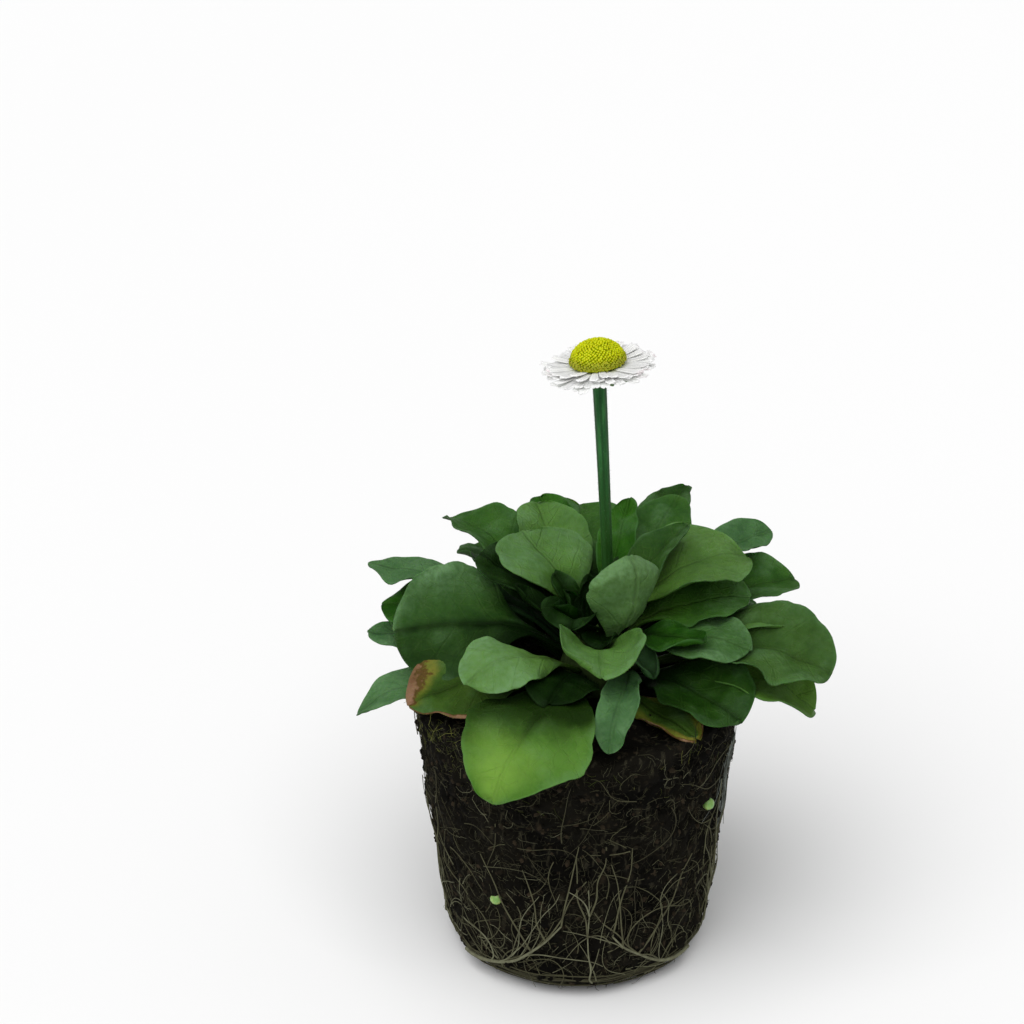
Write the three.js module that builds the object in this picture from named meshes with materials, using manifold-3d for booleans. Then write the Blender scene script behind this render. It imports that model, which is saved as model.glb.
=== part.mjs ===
// An English daisy as it comes out of its nursery pot: a tapered plug of peat held together by
// pale roots, a short crown, a rosette of spoon-shaped leaves and one white flower on a bare stem.
// Millimetres, +Z up. The origin is the centre of the flat underside of the root ball, and -Y is
// the front.
import * as THREE from "three";
import Module from "manifold-3d";

const wasm = await Module();
wasm.setup();

// Space left between pieces that touch.
const GAP = 0.3;

// The root ball keeps the shape of a 9 cm pot. Its foot is the flat spot that it stands on.
const BALL = { height: 75, topRadius: 43.5, baseRadius: 34, foot: 8, relief: 0.75, columns: 36 };

// The crown is the short dome that every leaf grows from. It stands in a plain hole in the peat.
const CROWN = { x: 4, y: 3, z: 76.5, radius: 9, height: 15, bottom: 69.3, columns: 24 };

// The leaf blade: where it is widest and where its stalk ends are shares of its length.
const LEAF = { thickness: 0.8, baseThickness: 1.5, stalkHalfWidth: 1.5, stalkEnd: 0.13, widest: 0.64 };
const LEAF_GRID = { steps: 9, stripes: 4 };

// The roots that show on the outside of the root ball.
const ROOT = { ringRadius: 0.8, strandRadius: 0.75, twigRadius: 0.5, clearance: 0.4 };

// The flower stem and the head on top of it, which leans a little to the left.
const STEM = { baseX: 8.5, baseY: 3.5, holeBottom: 83.5, radius: 1.4, topRadius: 1.8, sides: 10 };
const HEAD = { x: 4, y: -6, z: 169, lean: 6, discRadius: 7.3, discHeight: 6.3 };

const degrees = (angle) => (angle * Math.PI) / 180;
const clamp01 = (x) => Math.min(1, Math.max(0, x));
const smooth = (x) => clamp01(x) ** 2 * (3 - 2 * clamp01(x));
const mix = (a, b, share) => a + (b - a) * share;

// Random numbers that come out the same every time.
function seededRandom(seed) {
  let state = seed;
  return () => {
    state = (state * 16807) % 2147483647;
    return state / 2147483647;
  };
}

function meshSolid(points, triangles) {
  return new wasm.Manifold(
    new wasm.Mesh({
      numProp: 3,
      vertProperties: new Float32Array(points.flatMap((p) => [p.x, p.y, p.z])),
      triVerts: new Uint32Array(triangles.flat()),
    }),
  );
}

// A closed skin through rings with the same number of points each, counted anticlockwise as seen
// from the last ring, with both ends filled by a fan. The quads are split this way and that in turn.
function ringSolid(rings) {
  const count = rings[0].length;
  const points = rings.flat();
  const triangles = [];
  for (let k = 0; k + 1 < rings.length; k++) {
    for (let j = 0; j < count; j++) {
      const a = k * count + j;
      const b = k * count + ((j + 1) % count);
      if ((k + j) % 2) triangles.push([a, b, b + count], [a, b + count, a + count]);
      else triangles.push([a, b, a + count], [b, b + count, a + count]);
    }
  }
  for (const [ring, first] of [[rings[0], 0], [rings.at(-1), (rings.length - 1) * count]]) {
    const centre = ring.reduce((sum, p) => sum.clone().add(p), new THREE.Vector3()).divideScalar(count);
    const middle = points.push(centre) - 1;
    for (let j = 0; j < count; j++) {
      const a = first + j;
      const b = first + ((j + 1) % count);
      triangles.push(first === 0 ? [middle, b, a] : [middle, a, b]);
    }
  }
  return meshSolid(points, triangles);
}

// A level ring of points round a centre.
function levelRing(count, z, radiusAt, centre = { x: 0, y: 0 }) {
  return Array.from({ length: count }, (_, j) => {
    const angle = (2 * Math.PI * j) / count;
    const radius = radiusAt(angle);
    return new THREE.Vector3(centre.x + radius * Math.cos(angle), centre.y + radius * Math.sin(angle), z);
  });
}

// A tube through points. side is a rough direction across the tube that keeps its rings in line.
function tube(path, radiusAt, sides, side = () => new THREE.Vector3(1, 0, 0)) {
  const rings = path.map((point, i) => {
    const along = path[Math.min(i + 1, path.length - 1)].clone().sub(path[Math.max(i - 1, 0)]).normalize();
    const across = side(point).clone();
    across.addScaledVector(along, -across.dot(along)).normalize();
    const third = new THREE.Vector3().crossVectors(along, across);
    const radius = radiusAt(i / (path.length - 1));
    return Array.from({ length: sides }, (_, j) => {
      const angle = (2 * Math.PI * j) / sides;
      return point
        .clone()
        .addScaledVector(across, radius * Math.cos(angle))
        .addScaledVector(third, radius * Math.sin(angle));
    });
  });
  return ringSolid(rings);
}

// A thin blade over a grid of points, with thicknessAt(row, column) through it. Both faces are
// split into triangles alike.
function bladeSolid(rows, thicknessAt) {
  const steps = rows.length;
  const stripes = rows[0].length - 1;
  const points = [];
  for (let j = 0; j < steps; j++) {
    for (let i = 0; i <= stripes; i++) {
      const along = rows[Math.min(steps - 1, j + 1)][i].clone().sub(rows[Math.max(0, j - 1)][i]);
      const across = rows[j][Math.min(stripes, i + 1)].clone().sub(rows[j][Math.max(0, i - 1)]);
      const normal = along.cross(across).normalize();
      const half = thicknessAt(j, i) / 2;
      points.push(rows[j][i].clone().addScaledVector(normal, half));
      points.push(rows[j][i].clone().addScaledVector(normal, -half));
    }
  }
  const triangles = [];
  const quad = (a, b, c, d) => triangles.push([a, b, c], [a, c, d]);
  const over = (j, i) => (j * (stripes + 1) + i) * 2;
  const under = (j, i) => over(j, i) + 1;
  for (let j = 0; j + 1 < steps; j++) {
    for (let i = 0; i < stripes; i++) {
      quad(over(j, i), over(j + 1, i), over(j + 1, i + 1), over(j, i + 1));
      quad(under(j, i), under(j, i + 1), under(j + 1, i + 1), under(j + 1, i));
    }
    quad(over(j, 0), under(j, 0), under(j + 1, 0), over(j + 1, 0));
    quad(over(j, stripes), over(j + 1, stripes), under(j + 1, stripes), under(j, stripes));
  }
  const last = steps - 1;
  for (let i = 0; i < stripes; i++) {
    quad(over(0, i), over(0, i + 1), under(0, i + 1), under(0, i));
    quad(over(last, i), under(last, i), under(last, i + 1), over(last, i + 1));
  }
  return meshSolid(points, triangles);
}

const group = new THREE.Group();

function addPiece(name, solid, colour, roughness) {
  const mesh = solid.getMesh();
  const geometry = new THREE.BufferGeometry()
    .setAttribute("position", new THREE.BufferAttribute(mesh.vertProperties, 3))
    .setIndex(new THREE.BufferAttribute(mesh.triVerts, 1));
  const material = new THREE.MeshStandardMaterial({ color: colour, roughness, metalness: 0 });
  const piece = new THREE.Mesh(geometry, material);
  piece.name = name;
  group.add(piece);
}

// Root ball: dark fibrous peat in the shape of the pot that it grew in.
function ballRadius(angle, z) {
  const taper = mix(BALL.baseRadius, BALL.topRadius, z / BALL.height);
  const low = Math.max(0, BALL.foot - z);
  const rounding = BALL.foot - Math.sqrt(BALL.foot ** 2 - low ** 2);
  const relief =
    0.5 * Math.sin(3 * angle + 0.09 * z) +
    0.3 * Math.sin(7 * angle - 0.21 * z + 1) +
    0.3 * Math.sin(11 * angle + 0.33 * z + 2);
  return taper - rounding + BALL.relief * relief * smooth(z / 6);
}

function ballTop(x, y) {
  return BALL.height + 0.9 * Math.sin(0.19 * x + 1) * Math.cos(0.23 * y) - 0.4 * Math.sin(0.5 * x - 0.4 * y);
}

const ballRings = [0, 0.5, 2, 4.5, 8, 14, 21, 28, 35, 42, 49, 56, 63, 69, 73].map((z) =>
  levelRing(BALL.columns, z, (angle) => ballRadius(angle, z)),
);
for (const share of [0.04, 0.16, 0.36, 0.6, 0.8]) {
  const centre = { x: CROWN.x * share, y: CROWN.y * share };
  const ring = levelRing(
    BALL.columns,
    BALL.height,
    (angle) => mix(ballRadius(angle, BALL.height), CROWN.radius + GAP, share),
    centre,
  );
  ballRings.push(ring.map((p) => p.setZ(ballTop(p.x, p.y) - (share < 0.1 ? 0.7 : 0))));
}
for (const z of [BALL.height, CROWN.bottom - GAP]) {
  ballRings.push(levelRing(BALL.columns, z, () => CROWN.radius + GAP, CROWN));
}
let rootBall = ringSolid(ballRings);

// Fertiliser grains: soft green beads half sunk in the outside of the root ball.
const GRAIN_RADIUS = 1.7;
const GRAINS = { fertiliser_grain_1: [-125, 28.5], fertiliser_grain_2: [-33, 52] };

function bead(centre, radius, columns) {
  const rings = [-65, -35, 0, 35, 65].map((latitude) => {
    const out = radius * Math.cos(degrees(latitude));
    return levelRing(columns, centre.z + radius * Math.sin(degrees(latitude)), () => out, centre);
  });
  return ringSolid(rings);
}

for (const [name, [at, z]] of Object.entries(GRAINS)) {
  const reach = ballRadius(degrees(at), z) - 0.2;
  const centre = new THREE.Vector3(reach * Math.cos(degrees(at)), reach * Math.sin(degrees(at)), z);
  rootBall = rootBall.subtract(bead(centre, GRAIN_RADIUS + GAP + 0.1, 10));
  addPiece(name, bead(centre, GRAIN_RADIUS, 10), 0x7fa65a, 0.45);
}
addPiece("root_ball", rootBall, 0x2b241e, 1);

// Roots on the outside: one circling root near the foot, strands that rise from it and the twigs
// that they fan out into. They lie just clear of the peat and are all grown together.
function onBall(at, z, radius) {
  const angle = degrees(at);
  const lean = ballRadius(angle, z + 0.4) - ballRadius(angle, z - 0.4);
  const normal = new THREE.Vector2(0.8, -lean).normalize().multiplyScalar(ROOT.clearance + radius);
  const out = ballRadius(angle, z) + normal.x;
  return new THREE.Vector3(out * Math.cos(angle), out * Math.sin(angle), z + normal.y);
}
const awayFromAxis = (p) => new THREE.Vector3(p.x, p.y, 0).normalize();

function rootTube(course, radius, sides) {
  const path = course.map(([at, z]) => onBall(at, z, radius));
  return tube(path, (t) => radius * mix(1, 0.6, t), sides, awayFromAxis);
}

// Each strand: where it leaves the circling root, how far it runs round the ball before it turns
// up, the height where it fans out, and the number of twigs.
const STRANDS = [
  [-148, 50, 24, 4],
  [-30, -46, 20, 4],
  [-84, -2, 36, 2],
  [-6, -14, 30, 3],
  [24, 24, 24, 3],
  [84, -14, 32, 3],
  [116, 16, 22, 3],
  [158, -12, 34, 3],
  [178, 14, 24, 3],
];

const rootRandom = seededRandom(41);
const wander = (amount) => (rootRandom() - 0.5) * amount;
const rootParts = [];
const ringPath = [];
for (let i = 0; i <= 30; i++) {
  ringPath.push(onBall(i * 12.05, 5.4 + 1.1 * Math.sin(i * 1.3) * Math.cos(i * 0.4), ROOT.ringRadius));
}
rootParts.push(tube(ringPath, () => ROOT.ringRadius, 4, awayFromAxis));
for (const [at, run, fanHeight, twigs] of STRANDS) {
  const course = [];
  for (let i = 0; i <= 6; i++) {
    const t = i / 6;
    course.push([at + run * t ** 0.7 + (i ? wander(2) : 0), mix(5.4, fanHeight, t ** 1.8)]);
  }
  rootParts.push(rootTube(course, ROOT.strandRadius, 3));
  for (let k = 0; k < twigs; k++) {
    const spread = (k - (twigs - 1) / 2) * 14 + wander(3);
    const start = course[Math.min(6, 4 + (k % 3))];
    const rise = 16 + 14 * rootRandom();
    const twig = [];
    for (let i = 0; i <= 4; i++) {
      const t = i / 4;
      twig.push([start[0] + spread * t ** 0.8 + (i ? wander(3) : 0), start[1] + rise * t]);
    }
    rootParts.push(rootTube(twig, ROOT.twigRadius, 3));
  }
}
addPiece("surface_roots", wasm.Manifold.union(rootParts), 0x8a7f5c, 0.85);

// Flower head frame: z along the head's axis, from the plane that the ray florets spread in.
const headFrame = new THREE.Matrix4()
  .makeTranslation(HEAD.x, HEAD.y, HEAD.z)
  .multiply(new THREE.Matrix4().makeRotationY(degrees(-HEAD.lean)));
const inHead = (p) => p.clone().applyMatrix4(headFrame);
const HEAD_AXIS = new THREE.Vector3(0, 0, 1);

// Crown with the plain hole that the flower stem stands in.
const crownRings = [CROWN.bottom, 73, CROWN.z].map((z) =>
  levelRing(CROWN.columns, z, () => CROWN.radius, CROWN),
);
for (const angle of [18, 36, 54, 68, 80]) {
  const radius = CROWN.radius * Math.cos(degrees(angle));
  const z = CROWN.z + CROWN.height * Math.sin(degrees(angle));
  crownRings.push(levelRing(CROWN.columns, z, () => radius, CROWN));
}
const stemPath = [0, 0.06, 0.2, 0.4, 0.6, 0.8, 0.95, 1].map((t) => {
  const foot = new THREE.Vector3(STEM.baseX, STEM.baseY, STEM.holeBottom + GAP);
  const top = inHead(new THREE.Vector3(0, 0, -2.4));
  return new THREE.Vector3(
    mix(foot.x, top.x, t ** 1.2),
    mix(foot.y, top.y, t ** 1.6),
    mix(foot.z, top.z, t),
  );
});
const stemHole = [STEM.holeBottom, 96].map((z) =>
  levelRing(STEM.sides, z, () => STEM.radius + GAP + 0.1, { x: STEM.baseX, y: STEM.baseY }),
);
addPiece("crown", ringSolid(crownRings).subtract(ringSolid(stemHole)), 0x6c7a45, 0.8);
addPiece(
  "flower_stem",
  tube(stemPath, (t) => mix(STEM.radius, STEM.topRadius, t ** 2), STEM.sides),
  0x4c6d3c,
  0.6,
);

// Bracts: a green cup under the head, with thirteen pointed lobes, over a socket for the stem.
const BRACTS = { count: 13, length: 5.2, width: 3.3 };
const cupRings = [[-4.9, 2.5], [-3.9, 4.4], [-2.7, 6.6], [-1.4, 7.2]].map(([z, radius]) =>
  levelRing(26, z, () => radius).map(inHead),
);
const socketRings = [-6, -2.1].map((z) =>
  levelRing(STEM.sides, z, () => STEM.topRadius + GAP + 0.1).map(inHead),
);
const bractParts = [ringSolid(cupRings)];
for (let k = 0; k < BRACTS.count; k++) {
  const angle = (2 * Math.PI * (k + 0.5)) / BRACTS.count;
  const rows = [0, 0.6, 1].map((t) => {
    const half = (BRACTS.width / 2) * (t < 1 ? 1 : 0.16);
    const out = 5.6 + BRACTS.length * t;
    return [-1, 0, 1].map((v) => {
      const point = new THREE.Vector3(out, half * v, -2.9 + 0.4 * t + 0.25 * v * v);
      return inHead(point.applyAxisAngle(HEAD_AXIS, angle));
    });
  });
  bractParts.push(bladeSolid(rows, () => 0.7));
}
addPiece("flower_bracts", wasm.Manifold.union(bractParts).subtract(ringSolid(socketRings)), 0x54733f, 0.7);

// Ray florets: narrow white straps with a notched end, in three layers grown on one collar.
const RAY = { thickness: 0.6, start: 6.6, baseWidth: 1.7, width: 2.9, notch: 0.5, collar: 7.4 };
const RAY_LAYERS = [
  { count: 16, reach: 15.4, lift: -5, cup: 3, turn: 0 },
  { count: 15, reach: 15, lift: 1, cup: 4, turn: 9.5 },
  { count: 13, reach: 13.8, lift: 8, cup: 6, turn: 4 },
];
const rayParts = [ringSolid([-0.75, 0.05].map((z) => levelRing(24, z, () => RAY.collar).map(inHead)))];
const rayRandom = seededRandom(7);
for (const layer of RAY_LAYERS) {
  for (let k = 0; k < layer.count; k++) {
    const at = degrees((360 * k) / layer.count + layer.turn + 5 * (rayRandom() - 0.5));
    const lift = degrees(layer.lift + 4 * (rayRandom() - 0.5));
    const length = layer.reach - RAY.start - 1.2 * rayRandom();
    const rows = [0, 0.5, 1].map((t) => {
      const half = mix(RAY.baseWidth, RAY.width, t ** 0.7) / 2;
      const rise = lift + degrees(layer.cup) * t;
      return [-1, 0, 1].map((v) => {
        const run = length * t - (v === 0 && t === 1 ? RAY.notch : 0);
        const point = new THREE.Vector3(
          RAY.start + run * Math.cos(rise),
          half * v,
          -0.35 + run * Math.sin(rise) + 0.18 * v * v * t,
        );
        return inHead(point.applyAxisAngle(HEAD_AXIS, at));
      });
    });
    rayParts.push(bladeSolid(rows, () => RAY.thickness));
  }
}
addPiece("ray_florets", wasm.Manifold.union(rayParts), 0xf1f0ec, 0.6);

// Disc florets: a yellow dome of packed buds, each a raised point in staggered rows.
const DISC = { columns: 26, base: 0.35, bud: 0.5 };
const discRings = [levelRing(DISC.columns, DISC.base, () => HEAD.discRadius - 0.5).map(inHead)];
[4, 13, 22, 31, 40, 49, 58, 68, 78].forEach((latitude, k) => {
  const ring = Array.from({ length: DISC.columns }, (_, j) => {
    const angle = (2 * Math.PI * j) / DISC.columns;
    const raised = (j + k) % 2 ? DISC.bud * Math.min(1, (90 - latitude) / 45) : 0;
    const out = (HEAD.discRadius - DISC.bud + raised) * Math.cos(degrees(latitude));
    const up = DISC.base + 0.3 + (HEAD.discHeight - DISC.bud + raised) * Math.sin(degrees(latitude));
    return inHead(new THREE.Vector3(out * Math.cos(angle), out * Math.sin(angle), up));
  });
  discRings.push(ring);
});
addPiece("disc_florets", ringSolid(discRings), 0xd2c81e, 0.75);

// Leaves, from the lowest and oldest to the youngest in the middle. seat is the height on the crown,
// from 0 to 1. at, reach and height place the tip: its compass direction from the crown in degrees,
// with -90 towards the front, its distance from the crown's axis and its height above the table.
// rise and end are how steeply the leaf leaves the crown and runs out at its tip, turn is how far
// round the crown its foot is from its tip, twist rolls it about its rib, cup raises its margins
// and wave ripples them, in millimetres.
const LEAF_FIELDS = [
  "seat", "at", "reach", "height", "width", "rise", "end", "turn", "twist", "cup", "wave", "tone",
];
const LEAF_TABLE = {
  // The lowest leaves lie over the rim of the root ball.
  leaf_01: [0.0, -115, 61, 69, 38, 36, -66, 14, 0, 10, 2.0, "pale"],
  leaf_02: [0.0, -52, 42, 76.5, 15, 2, -2, -2, 0, 8, 0.6, "old"],
  leaf_03: [0.0, -10, 60, 72, 32, 16, -34, 0, 12, 16, 1.0, "bright"],
  leaf_04: [0.0, 17, 68, 79, 13, 12, -4, 2, 0, 20, 0.6, "bright"],
  leaf_05: [0.0, 46, 62, 78, 29, 12, -18, 0, 0, 14, 1.2, "mid"],
  leaf_06: [0.1, 78, 64, 80, 28, 20, -20, 0, 0, 18, 1.2, "mid"],
  leaf_07: [0.0, 108, 63, 78, 28, 12, -20, 0, 0, 14, 1.2, "mid"],
  leaf_08: [0.1, 140, 62, 83, 26, 18, -16, 0, 0, 16, 1.2, "mid"],
  leaf_09: [0.1, 172, 61, 85, 16, 14, 4, 0, 0, 20, 1.0, "blue"],
  leaf_10: [0.0, -171, 64, 71, 16, 0, -34, 4, 0, 18, 1.6, "blue"],
  leaf_11: [0.15, -157, 53, 79, 27, 20, -20, 16, 0, 12, 1.0, "old"],
  // The second tier.
  leaf_12: [0.15, -38, 48, 78.5, 28, 18, -16, 0, 13, 10, 0.8, "mid"],
  leaf_13: [0.15, -12, 63, 82.5, 28, 19, -38, 4, 10, 10, 1.0, "dark"],
  leaf_14: [0.25, -86, 47, 78.5, 11, 28, -70, 32, 0, 30, 0.8, "blue"],
  leaf_15: [0.2, -110, 35, 86, 20, 26, -16, 0, 0, 12, 0.6, "dark"],
  leaf_16: [0.3, -137, 45, 90, 20, 34, -30, 16, -30, -24, 1.0, "pale"],
  leaf_17: [0.45, -175, 53, 93, 35, 40, 0, 3, -36, 12, 1.0, "dark"],
  leaf_18: [0.3, 168, 58, 91.5, 25, 36, -10, -3, -12, 8, 0.8, "bright"],
  leaf_19: [0.4, 159, 65, 98.5, 19, 38, 2, -5, 0, 8, 0.8, "blue"],
  leaf_20: [0.3, 24, 61, 92, 27, 36, -10, 4, 6, 16, 1.0, "mid"],
  leaf_21: [0.3, -2, 53, 93.5, 10, 32, 2, 3, 0, 20, 0.5, "pale"],
  leaf_22: [0.2, 60, 62, 90, 28, 28, -12, 0, 0, 16, 1.2, "mid"],
  leaf_23: [0.3, 92, 63, 97, 28, 40, -12, 0, 0, 16, 1.2, "mid"],
  leaf_24: [0.2, 121, 63, 89, 24, 28, -12, 0, 0, 16, 1.2, "mid"],
  // The third tier.
  leaf_25: [0.45, -88, 34, 93, 28, 46, -34, 4, 0, 60, 0.8, "pale"],
  leaf_26: [0.45, -54, 26, 87, 12, 28, -20, 0, 0, 70, 0.3, "blue"],
  leaf_27: [0.4, -20, 43, 91.5, 22, 37, -20, -8, 8, 10, 0.8, "mid"],
  leaf_28: [0.55, -34, 34, 95, 15, 46, -8, 3, 0, 30, 0.5, "bright"],
  leaf_29: [0.5, 6, 42, 98, 21, 50, 2, 4, 8, 22, 0.8, "bright"],
  leaf_30: [0.65, 20, 44, 105, 35, 60, -14, 0, 10, 12, 1.2, "mid"],
  leaf_31: [0.5, 58, 47, 110, 18, 46, 20, 6, 0, 14, 0.8, "mid"],
  leaf_32: [0.4, 37, 63, 102, 14, 40, 0, 0, 0, 24, 2.0, "blue"],
  leaf_33: [0.35, 64, 63, 107, 14, 42, 10, -2, 0, 40, 1.0, "dark"],
  leaf_34: [0.4, 104, 57, 105, 14, 44, 6, 0, 0, 30, 0.8, "bright"],
  leaf_35: [0.5, 111, 42, 109, 22, 46, 20, 0, 0, 16, 1.0, "pale"],
  leaf_36: [0.4, 130, 60, 103, 22, 42, -4, 2, 0, 18, 1.2, "mid"],
  leaf_37: [0.65, 155, 34, 104, 19, 62, 10, 0, 0, 20, 0.8, "dark"],
  // The leaves round the heart.
  leaf_38: [0.75, 130, 30, 107, 32, 76, 10, -3, 0, 14, 1.2, "pale"],
  leaf_39: [0.75, -170, 22, 104, 10, 74, 50, 0, 0, 30, 0.5, "dark"],
  leaf_40: [0.8, -118, 14, 97, 20, 76, -30, 0, 0, 56, 0.6, "mid"],
  leaf_41: [0.65, -47, 14, 117, 26, 36, 114, -20, 0, 34, 0.6, "dark"],
  leaf_42: [0.65, 72, 33, 115, 11.5, 66, 50, -2, 0, 36, 0.4, "bright"],
  leaf_43: [0.8, 33, 29, 115, 14, 76, 50, 10, 0, 26, 0.5, "dark"],
  leaf_44: [0.95, -178, 8, 102, 8, 80, 80, 0, 0, 30, 0.3, "mid"],
  leaf_45: [0.95, 100, 7, 103, 8, 80, 84, 0, 0, 30, 0.3, "mid"],
};
const TONES = {
  pale: [0x6f9a4a, 0.5],
  bright: [0x4f8434, 0.5],
  mid: [0x4a7445, 0.6],
  blue: [0x466f58, 0.6],
  dark: [0x37553a, 0.75],
  old: [0x8f8a3c, 0.7],
};

// The foot of a leaf on the crown, lying just clear of its surface.
function leafFoot(leaf, at) {
  const angle = degrees(75) * leaf.seat;
  const normal = new THREE.Vector2(Math.cos(angle) / CROWN.radius, Math.sin(angle) / CROWN.height);
  normal.normalize();
  const facing = Math.cos(degrees(leaf.rise)) * normal.x + Math.sin(degrees(leaf.rise)) * normal.y;
  const clear = GAP + (LEAF.baseThickness / 2) * Math.sqrt(1 - facing ** 2);
  const out = CROWN.radius * Math.cos(angle) + clear * normal.x;
  const up = CROWN.height * Math.sin(angle) + clear * normal.y;
  return new THREE.Vector3(CROWN.x + out * Math.cos(at), CROWN.y + out * Math.sin(at), CROWN.z + up);
}

function heading(at, elevation) {
  const flat = Math.cos(elevation);
  return new THREE.Vector3(flat * Math.cos(at), flat * Math.sin(at), Math.sin(elevation));
}

// The rib of a leaf: stations with a side and an up direction at each.
function leafRib(leaf) {
  const tipAt = degrees(leaf.at);
  const footAt = degrees(leaf.at + leaf.turn);
  const foot = leafFoot(leaf, footAt);
  const tip = new THREE.Vector3(
    CROWN.x + leaf.reach * Math.cos(tipAt),
    CROWN.y + leaf.reach * Math.sin(tipAt),
    leaf.height,
  );
  const pull = 0.4 * foot.distanceTo(tip);
  const curve = new THREE.CubicBezierCurve3(
    foot,
    foot.clone().addScaledVector(heading(footAt, degrees(leaf.rise)), pull),
    tip.clone().addScaledVector(heading(tipAt, degrees(leaf.end)), -pull),
    tip,
  );
  return Array.from({ length: LEAF_GRID.steps }, (_, j) => {
    const t = 0.985 * Math.sin((Math.PI / 2) * (j / (LEAF_GRID.steps - 1)));
    const along = curve.getTangent(t);
    const at = mix(footAt, tipAt, t);
    const side = new THREE.Vector3(-Math.sin(at), Math.cos(at), 0);
    side.addScaledVector(along, -side.dot(along)).normalize();
    side.applyAxisAngle(along, degrees(leaf.twist) * smooth(t));
    const up = new THREE.Vector3().crossVectors(along, side);
    return { t, point: curve.getPoint(t), side, up };
  });
}

function leafHalfWidth(leaf, t) {
  const blade = leaf.width / 2;
  if (t < LEAF.widest) {
    return mix(LEAF.stalkHalfWidth, blade, smooth((t - LEAF.stalkEnd) / (LEAF.widest - LEAF.stalkEnd)));
  }
  return blade * Math.sqrt(1 - ((t - LEAF.widest) / (1 - LEAF.widest)) ** 2.3);
}

// A point of the blade's middle surface: v runs from -1 at one margin to 1 at the other. The ripple
// starts at a different phase on each leaf and on its two margins.
function bladePoint(leaf, { t, point, side, up }, v) {
  const half = leafHalfWidth(leaf, t);
  const bend = degrees(leaf.cup);
  const across = (half * Math.sin(bend * v)) / bend;
  const raised = (half * (1 - Math.cos(bend * v))) / bend;
  const phase = 9 * t + leaf.at + (v < 0 ? 2.2 : 0);
  const ripple = (leaf.wave * v * v * smooth((t - 0.25) / 0.3) * Math.sin(phase) * 2 * half) / leaf.width;
  return point.clone().addScaledVector(side, across).addScaledVector(up, raised + ripple);
}

for (const [name, row] of Object.entries(LEAF_TABLE)) {
  const leaf = Object.fromEntries(LEAF_FIELDS.map((field, i) => [field, row[i]]));
  const stations = leafRib(leaf);
  const { stripes } = LEAF_GRID;
  const rows = stations.map((station) =>
    Array.from({ length: stripes + 1 }, (_, i) => bladePoint(leaf, station, (2 * i) / stripes - 1)),
  );
  const thicknessAt = (j) => mix(LEAF.thickness, LEAF.baseThickness, (1 - stations[j].t) ** 2);
  addPiece(name, bladeSolid(rows, thicknessAt), ...TONES[leaf.tone]);
}

export default group;
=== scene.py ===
import math
import random

import bpy
import numpy as np
from mathutils import Matrix, Vector, noise


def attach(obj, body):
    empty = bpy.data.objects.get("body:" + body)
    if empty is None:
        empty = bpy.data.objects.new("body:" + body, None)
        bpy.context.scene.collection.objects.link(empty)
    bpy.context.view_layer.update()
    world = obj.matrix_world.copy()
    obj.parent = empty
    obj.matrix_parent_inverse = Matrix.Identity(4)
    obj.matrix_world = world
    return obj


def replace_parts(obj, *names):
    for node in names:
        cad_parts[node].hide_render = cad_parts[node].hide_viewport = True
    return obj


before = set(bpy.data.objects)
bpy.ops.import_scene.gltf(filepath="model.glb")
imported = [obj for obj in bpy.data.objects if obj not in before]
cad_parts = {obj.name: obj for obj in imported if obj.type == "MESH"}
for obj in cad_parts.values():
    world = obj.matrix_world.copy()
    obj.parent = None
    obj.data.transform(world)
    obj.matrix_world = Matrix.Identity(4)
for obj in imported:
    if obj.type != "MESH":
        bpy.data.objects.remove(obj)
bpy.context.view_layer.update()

# Root ball: the plug of peat that filled a round pot. It is pressed peat, damp and nearly black,
# crumbly on its side and flat under its foot, and nothing but its own roots holds it together.
MM = 0.001
BALL_HEIGHT, BALL_TOP, BALL_BASE, BALL_FOOT, BALL_RELIEF = 75.0, 43.5, 34.0, 8.0, 0.75
BALL_COLUMNS, BALL_ROW_STEP = 300, 0.55
CROWN_X, CROWN_Y, CROWN_Z, CROWN_RADIUS, CROWN_HEIGHT = 4.0, 3.0, 76.5, 9.0, 15.0
CROWN_BOTTOM, CROWN_ROOM = 69.3, 0.3


def smooth(x):
    x = np.clip(x, 0, 1)
    return x * x * (3 - 2 * x)


def mix(a, b, share):
    return a + (b - a) * share


def ball_radius(angle, z):
    low = np.maximum(0, BALL_FOOT - z)
    rounding = BALL_FOOT - np.sqrt(np.maximum(0, BALL_FOOT**2 - low**2))
    relief = (
        0.5 * np.sin(3 * angle + 0.09 * z)
        + 0.3 * np.sin(7 * angle - 0.21 * z + 1)
        + 0.3 * np.sin(11 * angle + 0.33 * z + 2)
    )
    taper = mix(BALL_BASE, BALL_TOP, z / BALL_HEIGHT)
    return taper - rounding + BALL_RELIEF * relief * smooth(z / 6)


def ball_top(x, y):
    return BALL_HEIGHT + 0.9 * np.sin(0.19 * x + 1) * np.cos(0.23 * y) - 0.4 * np.sin(0.5 * x - 0.4 * y)


def ring(around, radius, z, x=0.0, y=0.0):
    """Points at each angle of around on a level ring."""
    return np.stack([x + radius * np.cos(around), y + radius * np.sin(around), z + 0 * around], -1)


def bumps(points, scale, shift=(0, 0, 0)):
    """Smooth noise from about -1 to 1 at each point."""
    return np.array([noise.noise(Vector(p) * scale + Vector(shift)) for p in points])


def carry(mesh, **numbers):
    """Each point of a mesh gets the named numbers, new or in place of its old ones."""
    for key, values in numbers.items():
        row = mesh.attributes.get(key) or mesh.attributes.new(key, "FLOAT", "POINT")
        row.data.foreach_set("value", np.asarray(values, np.float32))


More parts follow.
